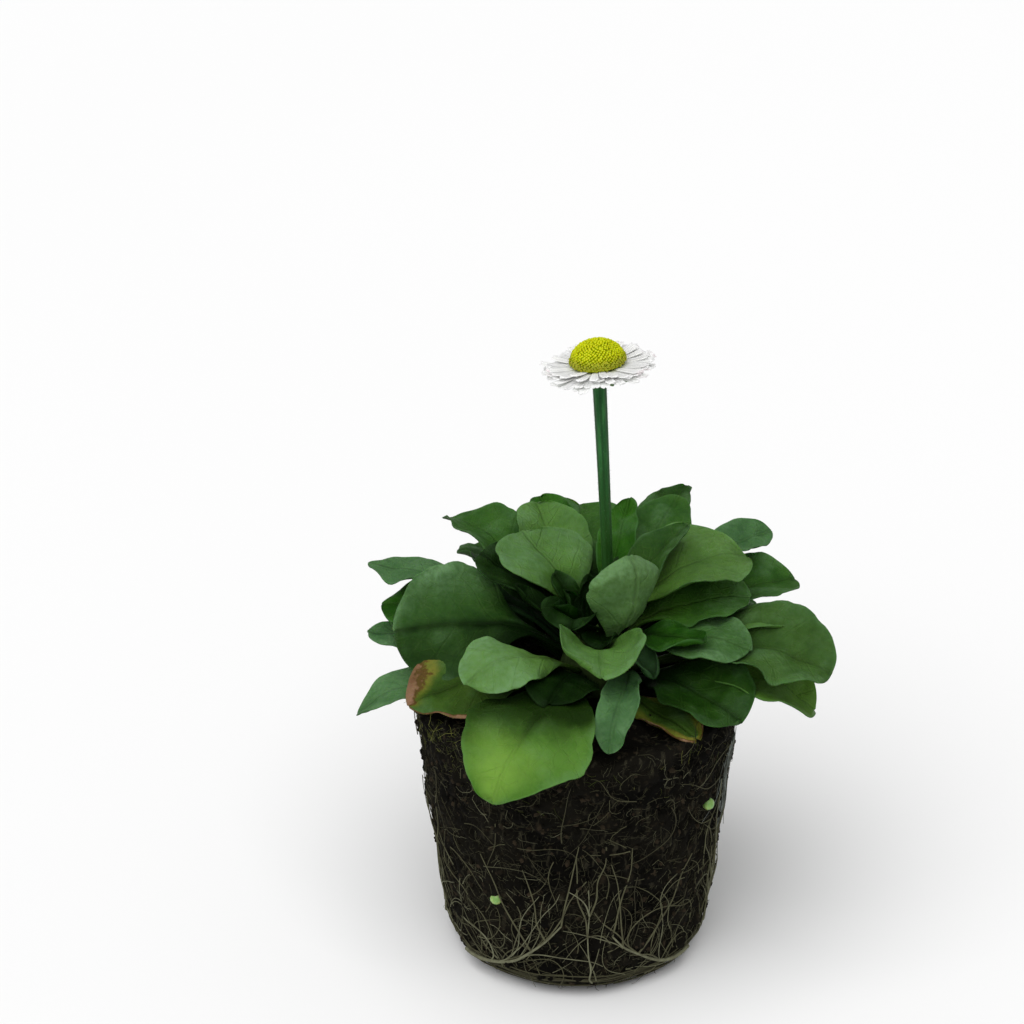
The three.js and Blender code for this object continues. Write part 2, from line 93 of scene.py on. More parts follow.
def make_object(name, points, faces=(), edges=(), **numbers):
    """An object from points in millimetres, with any numbers that each point carries."""
    mesh = bpy.data.meshes.new(name)
    mesh.from_pydata(np.asarray(points, float) * MM, edges, faces)
    carry(mesh, **numbers)
    mesh.shade_smooth()
    piece = bpy.data.objects.new(name, mesh)
    bpy.context.scene.collection.objects.link(piece)
    return piece


def skin_faces(rows, columns, first=0, capped=False):
    """Quads between rings of points, with a flat face over each end where it is capped."""
    faces = []
    for k in range(rows - 1):
        for j in range(columns):
            a = first + k * columns + j
            b = first + k * columns + (j + 1) % columns
            faces.append((a, b, b + columns, a + columns))
    if capped:
        faces += [tuple(range(columns - 1, -1, -1)), tuple(range((rows - 1) * columns, rows * columns))]
    return faces


around = np.linspace(0, 2 * np.pi, BALL_COLUMNS, endpoint=False)
foot_shares = (0.04, 0.15, 0.3, 0.45, 0.6, 0.72, 0.84, 0.93)
rows = [ring(around, ball_radius(around, 0.0) * share, 0.0) for share in foot_shares]
for turn in np.radians(np.arange(0, 90, 5)):
    z = BALL_FOOT * (1 - math.cos(turn))
    rows.append(ring(around, ball_radius(around, z), z))
for z in np.arange(BALL_FOOT, BALL_HEIGHT - 1, BALL_ROW_STEP):
    rows.append(ring(around, ball_radius(around, z), z))
for share in np.concatenate([[0.01, 0.03], np.linspace(0.06, 0.97, 20)]):
    radius = mix(ball_radius(around, BALL_HEIGHT), CROWN_RADIUS + CROWN_ROOM, share)
    rows.append(ring(around, radius, 0.0, CROWN_X * share, CROWN_Y * share))
    rows[-1][:, 2] = ball_top(rows[-1][:, 0], rows[-1][:, 1]) - 1.2 * max(0, 1 - share / 0.05) ** 2
for z in (BALL_HEIGHT - 0.6, 73.0, 71.0, CROWN_BOTTOM - CROWN_ROOM):
    rows.append(ring(around, CROWN_RADIUS + CROWN_ROOM, z, CROWN_X, CROWN_Y))

ball_points = np.concatenate(rows)
crumble = np.array([noise.turbulence(Vector(p) * 0.28, 4, False) for p in ball_points])
lumps = bumps(ball_points, 0.09)
outward = ball_points * [1, 1, 0]
far_out = np.linalg.norm(outward, axis=1)
outward /= np.maximum(1e-6, far_out)[:, None]
is_side = smooth((ball_points[:, 2] - 0.2) / 3) * smooth((74.6 - ball_points[:, 2]) / 1.5)
is_top = smooth((ball_points[:, 2] - 73.5) / 1.2) * smooth((far_out - 11) / 3)
ball_points += outward * (is_side * (-0.3 - 1.5 * crumble + 0.5 * lumps))[:, None]
is_foot = 1 - smooth(ball_points[:, 2] / 0.6)
ball_points[:, 2] += is_top * (0.5 - 1.3 * crumble) + 0.6 * is_foot * np.abs(crumble)
ball_faces = skin_faces(len(rows), BALL_COLUMNS)
foot_middle, hole_middle = (0, 0, 0.2), (CROWN_X, CROWN_Y, CROWN_BOTTOM - CROWN_ROOM)
ball_points = np.vstack([ball_points, [foot_middle], [hole_middle]])
last_row = (len(rows) - 1) * BALL_COLUMNS
for j in range(BALL_COLUMNS):
    after = (j + 1) % BALL_COLUMNS
    ball_faces.append((len(ball_points) - 2, after, j))
    ball_faces.append((len(ball_points) - 1, last_row + j, last_row + after))
peat_ball = make_object("peat_ball", ball_points, ball_faces)


class Flow:
    """What comes out of a node. Sums on it add Math nodes to the same tree."""

    def __init__(self, net, socket):
        self.net = net
        self.socket = socket

    def __add__(self, other):
        return self.net.math("ADD", self, other)

    def __radd__(self, other):
        return self.net.math("ADD", other, self)

    def __sub__(self, other):
        return self.net.math("SUBTRACT", self, other)

    def __rsub__(self, other):
        return self.net.math("SUBTRACT", other, self)

    def __mul__(self, other):
        return self.net.math("MULTIPLY", self, other)

    def __rmul__(self, other):
        return self.net.math("MULTIPLY", other, self)

    def __truediv__(self, other):
        return self.net.math("DIVIDE", self, other)

    def __pow__(self, other):
        return self.net.math("POWER", self, other)

    def __abs__(self):
        return self.net.math("ABSOLUTE", self)

    def most(self, other):
        return self.net.math("MAXIMUM", self, other)

    def between(self, low, high):
        """0 up to low, 1 from high on, with a smooth way from one to the other."""
        ends = {"Value": self, "From Min": low, "From Max": high, "To Min": 0.0, "To Max": 1.0}
        return self.net.node("ShaderNodeMapRange", {"interpolation_type": "SMOOTHSTEP"}, ends)["Result"]


class Net:
    """A tree of shader or geometry nodes while it is built."""

    def __init__(self, tree):
        self.tree = tree

    def pick(self, sockets, key):
        if isinstance(key, int):
            return sockets[key]
        exact = [s for s in sockets if s.identifier == key]
        return exact[0] if exact else [s for s in sockets if s.name == key and s.enabled][0]

    def node(self, kind, settings=None, inputs=None):
        """A node: its settings first, then the value or link of each named input."""
        made = self.tree.nodes.new(kind)
        for name, value in (settings or {}).items():
            setattr(made, name, value)
        for key, value in (inputs or {}).items():
            socket = self.pick(made.inputs, key)
            if isinstance(value, Flow):
                self.tree.links.new(value.socket, socket)
            elif socket.type == "RGBA":
                socket.default_value = (*value, 1)
            else:
                socket.default_value = value
        return Outputs(self, made)

    def math(self, operation, *terms):
        return self.node("ShaderNodeMath", {"operation": operation}, dict(enumerate(terms)))["Value"]

    def vector(self, x, y, z):
        return self.node("ShaderNodeCombineXYZ", {}, {"X": x, "Y": y, "Z": z})["Vector"]

    def height(self, vector):
        return self.node("ShaderNodeSeparateXYZ", {}, {0: vector})["Z"]

    def number(self, name):
        """A number that each point of the piece carries."""
        return self.node("ShaderNodeAttribute", {"attribute_name": name})["Fac"]

    def place(self):
        return self.node("ShaderNodeTexCoord")["Object"]

    def stretched(self, scale, turn=(0.0, 0.0, 0.0)):
        """The place, turned and scaled, for spots that are longer one way."""
        inputs = {"Vector": self.place(), "Rotation": turn, "Scale": scale}
        return self.node("ShaderNodeMapping", {}, inputs)["Vector"]

    def speckle(self, size, detail=3.0, vector=None, roughness=0.55):
        """Noise from 0 to 1, with spots of about that size in metres."""
        inputs = {"Scale": 0.5 / size, "Detail": detail, "Roughness": roughness}
        return self.node("ShaderNodeTexNoise", {}, {"Vector": vector or self.place(), **inputs})["Fac"]

    def blend(self, share, a, b):
        inputs = {"Factor_Float": share, "A_Color": a, "B_Color": b}
        return self.node("ShaderNodeMix", {"data_type": "RGBA"}, inputs)["Result_Color"]

    def surface(self, relief=None, depth=0.0002, **inputs):
        """The finished surface, with relief from 0 to 1 as bumps of that depth in metres."""
        named = {key.replace("_", " ").title().replace("Ior", "IOR"): value for key, value in inputs.items()}
        if relief is not None:
            named["Normal"] = self.node("ShaderNodeBump", {}, {"Distance": depth, "Height": relief})["Normal"]
        shader = self.node("ShaderNodeBsdfPrincipled", {}, named)["BSDF"]
        self.node("ShaderNodeOutputMaterial", {}, {"Surface": shader})


class Outputs:
    def __init__(self, net, made):
        self.net = net
        self.made = made

    def __getitem__(self, key):
        return Flow(self.net, self.net.pick(self.made.outputs, key))


def new_finish(name):
    material = bpy.data.materials.new(name)
    material.use_nodes = True
    material.node_tree.nodes.clear()
    return material, Net(material.node_tree)


damp_peat, net = new_finish("damp_peat")
grit = net.speckle(0.0011, 6.0, roughness=0.75)
flecks = net.speckle(0.0022, 4.0)
patches = net.speckle(0.009, 3.0)
strands = net.speckle(0.0009, 4.0, net.stretched((1.0, 1.0, 0.22), (0.5, 0.3, 0.2)))
peat_colour = net.blend(patches.between(0.35, 0.7), (0.0028, 0.0026, 0.002), (0.0085, 0.0075, 0.0052))
peat_colour = net.blend(flecks.between(0.58, 0.72), peat_colour, (0.02, 0.0155, 0.0095))
peat_colour = net.blend(strands.between(0.56, 0.68) * 0.7, peat_colour, (0.034, 0.031, 0.02))
peat_colour = net.blend(net.number("tint").between(0.4, 1.0) * 0.8, peat_colour, (0.04, 0.03, 0.019))
net.surface(
    relief=grit * 0.6 + strands * 0.5,
    depth=0.0009,
    base_color=peat_colour,
    roughness=0.8 + 0.2 * grit,
    specular_ior_level=0.04,
)
peat_ball.data.materials.append(damp_peat)
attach(peat_ball, "root")
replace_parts(peat_ball, "root_ball")

# Peat crumbs: loose grains and scraps of peat that cling to the side of the ball. They are the
# same peat in bits of up to two millimetres, pressed on where the pot's wall left them.
CRUMB_KINDS, CRUMB_SIDES = 6, 6
draw = random.Random(11)


def crumb_shape(index):
    circle = ring(np.linspace(0, 2 * np.pi, CRUMB_SIDES, endpoint=False), 1.0, 0.0)
    points = [(0, 0, -0.4)]
    for radius, z in ((0.8, -0.3), (1.0, 0.15), (0.6, 0.6)):
        for x, y, _ in circle:
            wobble = draw.uniform(0.7, 1.25)
            points.append((radius * x * wobble * 1.2, radius * y * wobble, z * draw.uniform(0.7, 1.3)))
    points.append((0, 0, 0.75))
    last, top = 1 + 2 * CRUMB_SIDES, len(points) - 1
    faces = skin_faces(3, CRUMB_SIDES, first=1)
    faces += [(0, 1 + (j + 1) % CRUMB_SIDES, 1 + j) for j in range(CRUMB_SIDES)]
    faces += [(top, last + j, last + (j + 1) % CRUMB_SIDES) for j in range(CRUMB_SIDES)]
    return make_object(f"crumb_shape_{index}", points, faces)


def new_growth(name, **inputs):
    """A tree of geometry nodes with a geometry on each side and the named inputs."""
    tree = bpy.data.node_groups.new(name, "GeometryNodeTree")
    tree.interface.new_socket(name="Geometry", in_out="INPUT", socket_type="NodeSocketGeometry")
    for label, kind in inputs.items():
        tree.interface.new_socket(name=label, in_out="INPUT", socket_type="NodeSocket" + kind)
    tree.interface.new_socket(name="Geometry", in_out="OUTPUT", socket_type="NodeSocketGeometry")
    net = Net(tree)
    return tree, net, net.node("NodeGroupInput")


def carried(net, name):
    """A number that each point of the host carries."""
    return net.node("GeometryNodeInputNamedAttribute", {"data_type": "FLOAT"}, {"Name": name})["Attribute"]


def chance(net, low, high, seed, index=None, kind="FLOAT"):
    """A random number for each point, or for each value of index."""
    end = {"FLOAT": "_001", "INT": "_002"}[kind]
    inputs = {"Min" + end: low, "Max" + end: high, "Seed": seed}
    if index is not None:
        inputs["ID"] = index
    return net.node("FunctionNodeRandomValue", {"data_type": kind}, inputs)["Value" + end]


def turned(net, x, y, z, first=None):
    """A rotation by three angles, which comes after the first where there is one."""
    turn = net.node("FunctionNodeEulerToRotation", {}, {"Euler": net.vector(x, y, z)})["Rotation"]
    if first is None:
        return turn
    both = {"Rotation": first, "Rotate By": turn}
    return net.node("FunctionNodeRotateRotation", {"rotation_space": "LOCAL"}, both)["Rotation"]


def copies_at(net, points, shapes, which, rotation, scale, **numbers):
    """A copy of one of the shapes at each point, which carries the named numbers."""
    inputs = {"Collection": shapes, "Separate Children": True, "Reset Children": True}
    inputs = {"Instance": net.node("GeometryNodeCollectionInfo", {}, inputs)["Instances"], "Points": points}
    inputs.update({"Pick Instance": True, "Instance Index": which, "Rotation": rotation, "Scale": scale})
    copies = net.node("GeometryNodeInstanceOnPoints", {}, inputs)["Instances"]
    settings = {"data_type": "FLOAT", "domain": "INSTANCE"}
    for name, value in numbers.items():
        inputs = {"Geometry": copies, "Name": name, "Value": value}
        copies = net.node("GeometryNodeStoreNamedAttribute", settings, inputs)["Geometry"]
    return copies


def finish_growth(net, geometry, material):
    """Copies are made real, shaded smooth and given their material."""
    real = net.node("GeometryNodeRealizeInstances", {}, {"Geometry": geometry})["Geometry"]
    smoothed = net.node("GeometryNodeSetShadeSmooth", {}, {"Geometry": real})["Geometry"]
    done = net.node("GeometryNodeSetMaterial", {}, {"Geometry": smoothed, "Material": material})["Geometry"]
    net.node("NodeGroupOutput", {}, {"Geometry": done})


def grow(name, host, tree, **values):
    """The plain mesh that a tree of geometry nodes makes on host."""
    modifier = host.modifiers.new("growth", "NODES")
    modifier.node_group = tree
    for item in tree.interface.items_tree:
        if item.in_out == "INPUT" and item.name in values:
            modifier[item.identifier] = values[item.name]
    depsgraph = bpy.context.evaluated_depsgraph_get()
    mesh = bpy.data.meshes.new_from_object(
        host.evaluated_get(depsgraph), preserve_all_data_layers=True, depsgraph=depsgraph
    )
    host.modifiers.remove(modifier)
    piece = bpy.data.objects.new(name, mesh)
    bpy.context.scene.collection.objects.link(piece)
    return piece


def grow_copies(name, host, tree, shapes, **values):
    """What grow makes from small shapes, which are there only to be copied."""
    shelf = bpy.data.collections.new(name + "_shapes")
    bpy.context.scene.collection.children.link(shelf)
    for shape in shapes:
        bpy.context.scene.collection.objects.unlink(shape)
        shelf.objects.link(shape)
    piece = grow(name, host, tree, Shapes=shelf, **values)
    for shape in shapes:
        bpy.data.objects.remove(shape)
    bpy.data.collections.remove(shelf)
    return piece


def lift_off_floor(mesh):
    """What hangs under the lowest millimetre is pressed up, and so stays over the floor."""
    points = np.empty(len(mesh.vertices) * 3)
    mesh.vertices.foreach_get("co", points)
    height = points[2::3]
    pressed = MM * (0.1 + 0.9 * np.exp((np.minimum(height, MM) - MM) / (0.9 * MM)))
    points[2::3] = np.where(height < MM, pressed, height)
    mesh.vertices.foreach_set("co", points)


scatter, net, given = new_growth(
    "scatter_over_surface",
    Shapes="Collection",
    Density="Float",
    Smallest="Float",
    Largest="Float",
    Sink="Float",
    Lean="Float",
    Palest="Float",
    Seed="Int",
    Material="Material",
)
spots = net.node(
    "GeometryNodeDistributePointsOnFaces",
    {"distribute_method": "RANDOM"},
    {"Mesh": given["Geometry"], "Density": given["Density"] * carried(net, "cover"), "Seed": given["Seed"]},
)
lean_x, lean_y = (chance(net, -1.0, 1.0, seed) * given["Lean"] for seed in (4, 5))
size = given["Smallest"] + (given["Largest"] - given["Smallest"]) * chance(net, 0.0, 1.0, 7) ** 2
inward = {"Vector": spots["Normal"], "Scale": 0 - given["Sink"]}
sunk = net.node("ShaderNodeVectorMath", {"operation": "SCALE"}, inward)["Vector"]
placed = net.node("GeometryNodeSetPosition", {}, {"Geometry": spots["Points"], "Offset": sunk})["Geometry"]
copies = copies_at(
    net,
    placed,
    given["Shapes"],
    chance(net, 0, 63, 8, kind="INT"),
    turned(net, lean_x, lean_y, chance(net, 0.0, 6.283, 6), spots["Rotation"]),
    size,
    tint=chance(net, 0.0, 1.0, 9) * given["Palest"],
)
finish_growth(net, copies, given["Material"])

far_out = np.linalg.norm(ball_points[:, :2], axis=1)
carry(peat_ball.data, cover=smooth((ball_points[:, 2] - 1.5) / 3) * smooth((far_out - 16) / 6))
peat_crumbs = grow_copies(
    "peat_crumbs",
    peat_ball,
    scatter,
    [crumb_shape(k) for k in range(CRUMB_KINDS)],
    Density=190000.0,
    Smallest=0.2,
    Largest=1.0,
    Sink=0.0002,
    Lean=0.5,
    Palest=1.0,
    Seed=3,
    Material=damp_peat,
)
peat_ball.data.attributes.remove(peat_ball.data.attributes["cover"])
lift_off_floor(peat_crumbs.data)
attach(peat_crumbs, "root")

# Fine roots: hair-thin feeding roots that felt the outside of the ball. They are tan to grey,
# three to ten millimetres of each shows, and they lie on the peat wherever the wall pressed them.
FIBRE_KINDS, WALL_COLUMNS = 16, 72
root_bark, net = new_finish("root_bark")
tint = net.number("tint")
grain = net.speckle(0.0012, 4.0)
bark = net.blend(tint.between(0.0, 0.6), (0.012, 0.0105, 0.0065), (0.085, 0.084, 0.045))
bark = net.blend(tint.between(0.6, 1.0), bark, (0.2, 0.205, 0.13))
bark = net.blend(grain.between(0.35, 0.75) * 0.5, bark, (0.035, 0.03, 0.018))
net.surface(relief=grain, depth=0.0001, base_color=bark, roughness=0.8, specular_ior_level=0.12)

along_path, net, given = new_growth("root_along_path", Sides="Int", Material="Material")
line = net.node("GeometryNodeMeshToCurve", {}, {"Mesh": given["Geometry"]})["Curve"]
inputs = {"Resolution": given["Sides"], "Radius": MM}
circle = net.node("GeometryNodeCurvePrimitiveCircle", {}, inputs)["Curve"]
inputs = {"Curve": line, "Profile Curve": circle, "Scale": carried(net, "thick"), "Fill Caps": True}
finish_growth(net, net.node("GeometryNodeCurveToMesh", {}, inputs)["Mesh"], given["Material"])


def lay_paths(name, paths, sides, material):
    """Round roots along paths, each a list of points, a list of radii and a tint."""
    points, edges, thick, tint = [], [], [], []
    for path, radii, colour in paths:
        first = len(points)
        points += path
        thick += radii
        tint += [colour] * len(path)
        edges += [(first + i, first + i + 1) for i in range(len(path) - 1)]
    lines = make_object(name + "_lines", points, edges=edges, thick=thick, tint=tint)
    piece = grow(name, lines, along_path, Sides=sides, Material=material)
    bpy.data.objects.remove(lines)
    return piece


def fine_root(steps):
    length = draw.uniform(2.5, 7.5)
    curl = draw.uniform(-1.8, 1.8)
    path, ahead = [], 0.0
    x = y = 0.0
    for i in range(steps):
        share = i / (steps - 1)
        path.append((x, y, 0.15 * math.sin(3.1 * share)))
        ahead += curl / steps + draw.uniform(-0.5, 0.5)
        x += length / (steps - 1) * math.cos(ahead)
        y += length / (steps - 1) * math.sin(ahead)
    width = draw.uniform(0.05, 0.1)
    radii = [width * (1 - 0.5 * i / steps) for i in range(steps)]
    root = lay_paths("fine_root", [(path, radii, 0.5)], 3, root_bark)
    root.data.attributes.remove(root.data.attributes["tint"])
    return root


around = np.linspace(0, 2 * np.pi, WALL_COLUMNS, endpoint=False)
rows = [ring(around, ball_radius(around, z) - 0.1, z) for z in np.arange(1.0, BALL_HEIGHT, 2.0)]
for share in (0.02, 0.06, 0.15, 0.3, 0.5, 0.75):
    rows.append(ring(around, mix(ball_radius(around, BALL_HEIGHT), CROWN_RADIUS, share), 0.0))
    rows[-1][:, 2] = ball_top(rows[-1][:, 0], rows[-1][:, 1])
wall = np.concatenate(rows)
pot_wall = make_object("pot_wall", wall, skin_faces(len(rows), WALL_COLUMNS))


def lay_fibres(name, shapes, cover, **values):
    """Loose fibres all over the wall of the ball, thickest where cover is 1."""
    carry(pot_wall.data, cover=cover)
    piece = grow_copies(name, pot_wall, scatter, shapes, Sink=0.0, Lean=0.05, **values)
    lift_off_floor(piece.data)
    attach(piece, "root")
    return piece


felted = smooth(wall[:, 2] / 5) * (0.6 + 0.4 * smooth((50 - wall[:, 2]) / 30))
felted *= np.where(wall[:, 2] > 74.1, 0.4, 1)
fine_roots = lay_fibres(
    "fine_roots",
    [fine_root(7) for _ in range(FIBRE_KINDS)],
    felted,
    Density=200000.0,
    Smallest=0.5,
    Largest=1.4,
    Palest=0.9,
    Seed=5,
    Material=root_bark,
)
dark_fibres = lay_fibres(
    "dark_fibres",
    [fine_root(4) for _ in range(FIBRE_KINDS)],
    0.6 + 0.4 * felted,
    Density=420000.0,
    Smallest=0.3,
    Largest=0.85,
    Palest=0.5,
    Seed=6,
    Material=root_bark,
)

# Moss: a thin growth of green threads on the damp rim of the ball, mostly on its left. It is alive
# and soft, and each thread lies loosely on the peat.
moss_green, net = new_finish("moss_green")
moss_colour = net.blend(net.number("tint").between(0.1, 0.9), (0.045, 0.06, 0.012), (0.19, 0.2, 0.05))
net.surface(base_color=moss_colour, roughness=0.8, specular_ior_level=0.12)
wall_angle = np.degrees(np.arctan2(wall[:, 1], wall[:, 0]))
left_rim = smooth((wall[:, 2] - 62) / 10) * smooth((50 - np.abs((wall_angle + 345) % 360 - 180)) / 30)
moss_threads = lay_fibres(
    "moss_threads",
    [fine_root(5) for _ in range(FIBRE_KINDS // 2)],
    np.clip(left_rim + 0.12 * smooth(wall[:, 2] - 60), 0, 1),
    Density=420000.0,
    Smallest=0.4,
    Largest=1.0,
    Palest=1.0,
    Seed=8,
    Material=moss_green,
)
bpy.data.objects.remove(pot_wall)

# Surface roots: the thick roots that circled the foot of the pot and rise from there in strands
# that fan out. They are tan, tough and round, and grew pressed between the peat and the pot.
RING_HEIGHT, RING_RADIUS, STRAND_RADIUS, TWIG_RADIUS = 5.4, 0.45, 0.8, 0.27
WALK_STEP, WALK_TURN, ROOT_LOWEST, ROOT_HIGHEST = 1.5, 2.1, 2.5, 72.0

# A strand has the compass angle of its foot, its run round the ball, the height where it fans
# out, its number of twigs and its thickness.
STRANDS = [
    (-148, 50, 24, 4, 0.68),
    (-30, -46, 20, 4, 0.68),
    (-84, -2, 36, 2, 0.36),
    (-6, -14, 30, 3, 0.5),
    (24, 24, 24, 3, 0.6),
    (84, -14, 32, 3, 0.5),
    (116, 16, 22, 3, 0.6),
    (158, -12, 34, 3, 0.5),
    (178, 14, 24, 3, 0.6),
]


def lehmer(seed):
    """Random numbers that come out the same on every machine."""
    state = seed
    while True:
        state = state * 16807 % 2147483647
        yield state / 2147483647


steady = lehmer(41)


def wander(amount):
    return (next(steady) - 0.5) * amount


def ball_spot(at, z, lift):
    """A point over the side of the ball, at a compass angle in degrees."""
    angle = math.radians(at)
    lean = float(ball_radius(angle, z + 0.4) - ball_radius(angle, z - 0.4))
    size = math.hypot(0.8, lean)
    out = float(ball_radius(angle, z)) + lift * 0.8 / size
    return (out * math.cos(angle), out * math.sin(angle), z - lift * lean / size)


def root_path(course, radius, tint, steps=24, lift=0.3):
    """A root through a course of compass angles and heights, eased between them."""
    course = np.array(course)
    knots = np.linspace(0, 1, len(course))
    share = np.linspace(0, 1, steps)
    at = np.interp(share, knots, course[:, 0])
    z = np.interp(share, knots, course[:, 1])
    for _ in range(3):
        at[1:-1] = (at[:-2] + 2 * at[1:-1] + at[2:]) / 4
        z[1:-1] = (z[:-2] + 2 * z[1:-1] + z[2:]) / 4
    width = radius * mix(1, 0.45, share)
    path = [ball_spot(a, h, lift + w) for a, h, w in zip(at, z, width)]
    return path, list(width), tint


def walk(at, z, ahead, length, bend, straighten=0.0):
    """A course that sets out at an angle in radians, and turns a little at each step."""
    course, turning = [], 0.0
    for _ in range(max(4, int(length / WALK_STEP))):
        course.append((at, min(ROOT_HIGHEST, max(ROOT_LOWEST, z))))
        turning = 0.7 * turning + draw.gauss(0, bend)
        ahead += turning + straighten * (math.pi / 2 - ahead)
        at += WALK_TURN * math.cos(ahead)
        z += WALK_STEP * math.sin(ahead)
    return course


ring_course = [(i * 12.05, RING_HEIGHT + 1.1 * math.sin(i * 1.3) * math.cos(i * 0.4)) for i in range(31)]
main_roots = [root_path(ring_course, RING_RADIUS, 0.25, 120, -0.1)]
thin_roots = []
for _ in range(7):
    start, low = draw.uniform(-180, 180), draw.uniform(3.6, 7.5)
    circling = [(start + 11.5 * i, low + draw.uniform(-0.8, 0.8)) for i in range(31)]
    thin_roots.append(root_path(circling, draw.uniform(0.14, 0.26), draw.uniform(0.2, 0.5), 90, 0.3))
for at, run, fan_height, twigs, thickness in STRANDS:
    course = []
    for i in range(7):
        bearing = at + run * (i / 6) ** 0.7 + (wander(2) if i else 0)
        course.append((bearing, mix(RING_HEIGHT, fan_height, (i / 6) ** 1.8)))
    main_roots.append(root_path(course, STRAND_RADIUS * thickness, 0.85, 36))
    for _ in range(2 if abs(run) < 10 else 8):
        begin = draw.randrange(1, 6)
        (a, z), (b, y) = course[begin], course[begin + 1]
        ahead = math.atan2(y - z, (b - a) * 0.7) + draw.gauss(0, 0.35)
        a, z = a + draw.uniform(-1.1, 1.1), z + draw.uniform(-0.7, 0.7)
        fan = walk(a, z, ahead, draw.uniform(12, 40), 0.11, 0.06)
        radius, tint = draw.uniform(0.13, 0.25), draw.uniform(0.55, 1.0)
        thin_roots.append(root_path(fan, radius, tint, len(fan) + 4, 0.45))
    for k in range(twigs):
        spread = (k - (twigs - 1) / 2) * 14 + wander(3)
        start = course[min(6, 4 + k % 3)]
        rise = 16 + 14 * next(steady)
        twig = []
        for i in range(5):
            bearing = start[0] + spread * (i / 4) ** 0.8 + (wander(3) if i else 0)
            twig.append((bearing, start[1] + rise * i / 4))
        main_roots.append(root_path(twig, TWIG_RADIUS, 0.66, 22))
surface_roots = lay_paths("thick_roots", main_roots, 8, root_bark)
lift_off_floor(surface_roots.data)
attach(surface_roots, "root")
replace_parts(surface_roots, "surface_roots")

# Branch roots: the net of thinner roots between the strands. They are as thick as thread, paler
# where they are young, and they branch upwards and cross over each other all round the ball.
BRANCH_COUNT = 330
for index in range(BRANCH_COUNT):
    low = index % 3
    at = draw.uniform(-180, 180)
    z = (draw.uniform(3, 16), draw.uniform(8, 36), draw.uniform(30, 66))[low]
    ahead = draw.gauss(math.pi / 2, 0.9) if low < 2 else draw.uniform(0, 6.28)
    course = walk(at, z, ahead, draw.uniform(8, 28), 0.13)
    radius = draw.uniform(0.08, 0.17) if low else draw.uniform(0.1, 0.22)
    tint, lift = draw.uniform(0.2, 0.8), draw.uniform(0.1, 0.6)
    thin_roots.append(root_path(course, radius, tint, len(course) + 2, lift))
branch_roots = lay_paths("branch_roots", thin_roots, 5, root_bark)
lift_off_floor(branch_roots.data)
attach(branch_roots, "root")

# Root mat: the pale young roots on the side of the ball that dried first. They are greyish white
# and thin as hair, and hang side by side down the ball from its rim.
MAT_COUNT, MAT_AT, MAT_TOP = 120, -17, 67
pale_bark, net = new_finish("pale_bark")
pale = net.blend(net.number("tint"), (0.05, 0.055, 0.045), (0.34, 0.38, 0.35))
pale = net.blend(net.speckle(0.0012, 4.0).between(0.35, 0.7) * 0.7, pale, (0.05, 0.05, 0.035))
net.surface(base_color=pale, roughness=0.8, specular_ior_level=0.1)
mat_roots = []
for _ in range(MAT_COUNT):
    at = draw.gauss(MAT_AT, 3)
    top = MAT_TOP - abs(draw.gauss(0, 9))
    course = walk(at, top, draw.gauss(-math.pi / 2, 0.3), draw.uniform(4, 16), 0.12)
    radius, tint, lift = draw.uniform(0.05, 0.13), draw.uniform(0, 1), draw.uniform(0, 0.5)
    mat_roots.append(root_path(course, radius, tint, len(course) + 2, lift))
root_mat = lay_paths("root_mat", mat_roots, 4, pale_bark)
lift_off_floor(root_mat.data)
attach(root_mat, "root")

# Fertiliser grains: round beads with a soft green resin coat, which were mixed in to the peat and
# lie half sunk in its side.
GRAIN_RADIUS, GRAIN_SINK, GRAIN_ROWS, GRAIN_SIDES = 1.7, 0.2, 15, 22
GRAINS = {"fertiliser_grain_1": (-125, 28.5), "fertiliser_grain_2": (-33, 52)}

resin_coat, net = new_finish("resin_coat")
mottle = net.speckle(0.0008, 3.0)
coat = net.blend(mottle.between(0.35, 0.7), (0.16, 0.33, 0.07), (0.3, 0.46, 0.13))
net.surface(
    relief=mottle,
    depth=0.0001,
    base_color=coat,
    roughness=0.4,
    subsurface_weight=0.2,
    subsurface_scale=0.001,
)

for node, (at, z) in GRAINS.items():
    reach = float(ball_radius(math.radians(at), z)) - GRAIN_SINK
    centre = Vector((reach * math.cos(math.radians(at)), reach * math.sin(math.radians(at)), z))
    points = []
    for latitude in np.radians(np.linspace(-84, 84, GRAIN_ROWS)):
        for j in range(GRAIN_SIDES):
            angle = 2 * math.pi * j / GRAIN_SIDES
            out = math.cos(latitude)
            spot = Vector((out * math.cos(angle), out * math.sin(angle), math.sin(latitude)))
            dent = 1 - 0.07 * noise.noise(spot * 1.7 + centre) - 0.02 * noise.noise(spot * 6)
            points.append(centre + spot * GRAIN_RADIUS * 0.97 * dent)
    bead_faces = skin_faces(GRAIN_ROWS, GRAIN_SIDES, capped=True)
    bead = make_object(node.replace("fertiliser", "green"), points, bead_faces)
    bead.data.materials.append(resin_coat)
    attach(bead, "root")
    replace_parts(bead, node)

# Crown: the short dome of living tissue that the leaves and the stem grow from. It is firm, and
# its own roots hold it in the top of the peat. Its pale green is darkened to a deep green as
# painted shade, for it sits in the dark middle of the rosette.
crown_skin_in_painted_shade, net = new_finish("crown_skin_in_painted_shade")
blotch = net.speckle(0.003, 4.0)
# Painted shade: the crown's colour is kept very dark.
shaded_flesh = net.blend(blotch.between(0.3, 0.7), (0.012, 0.02, 0.006), (0.035, 0.06, 0.015))
net.surface(relief=blotch, depth=0.0005, base_color=shaded_flesh, roughness=0.8, specular_ior_level=0.03)
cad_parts["crown"].material_slots[0].material = crown_skin_in_painted_shade
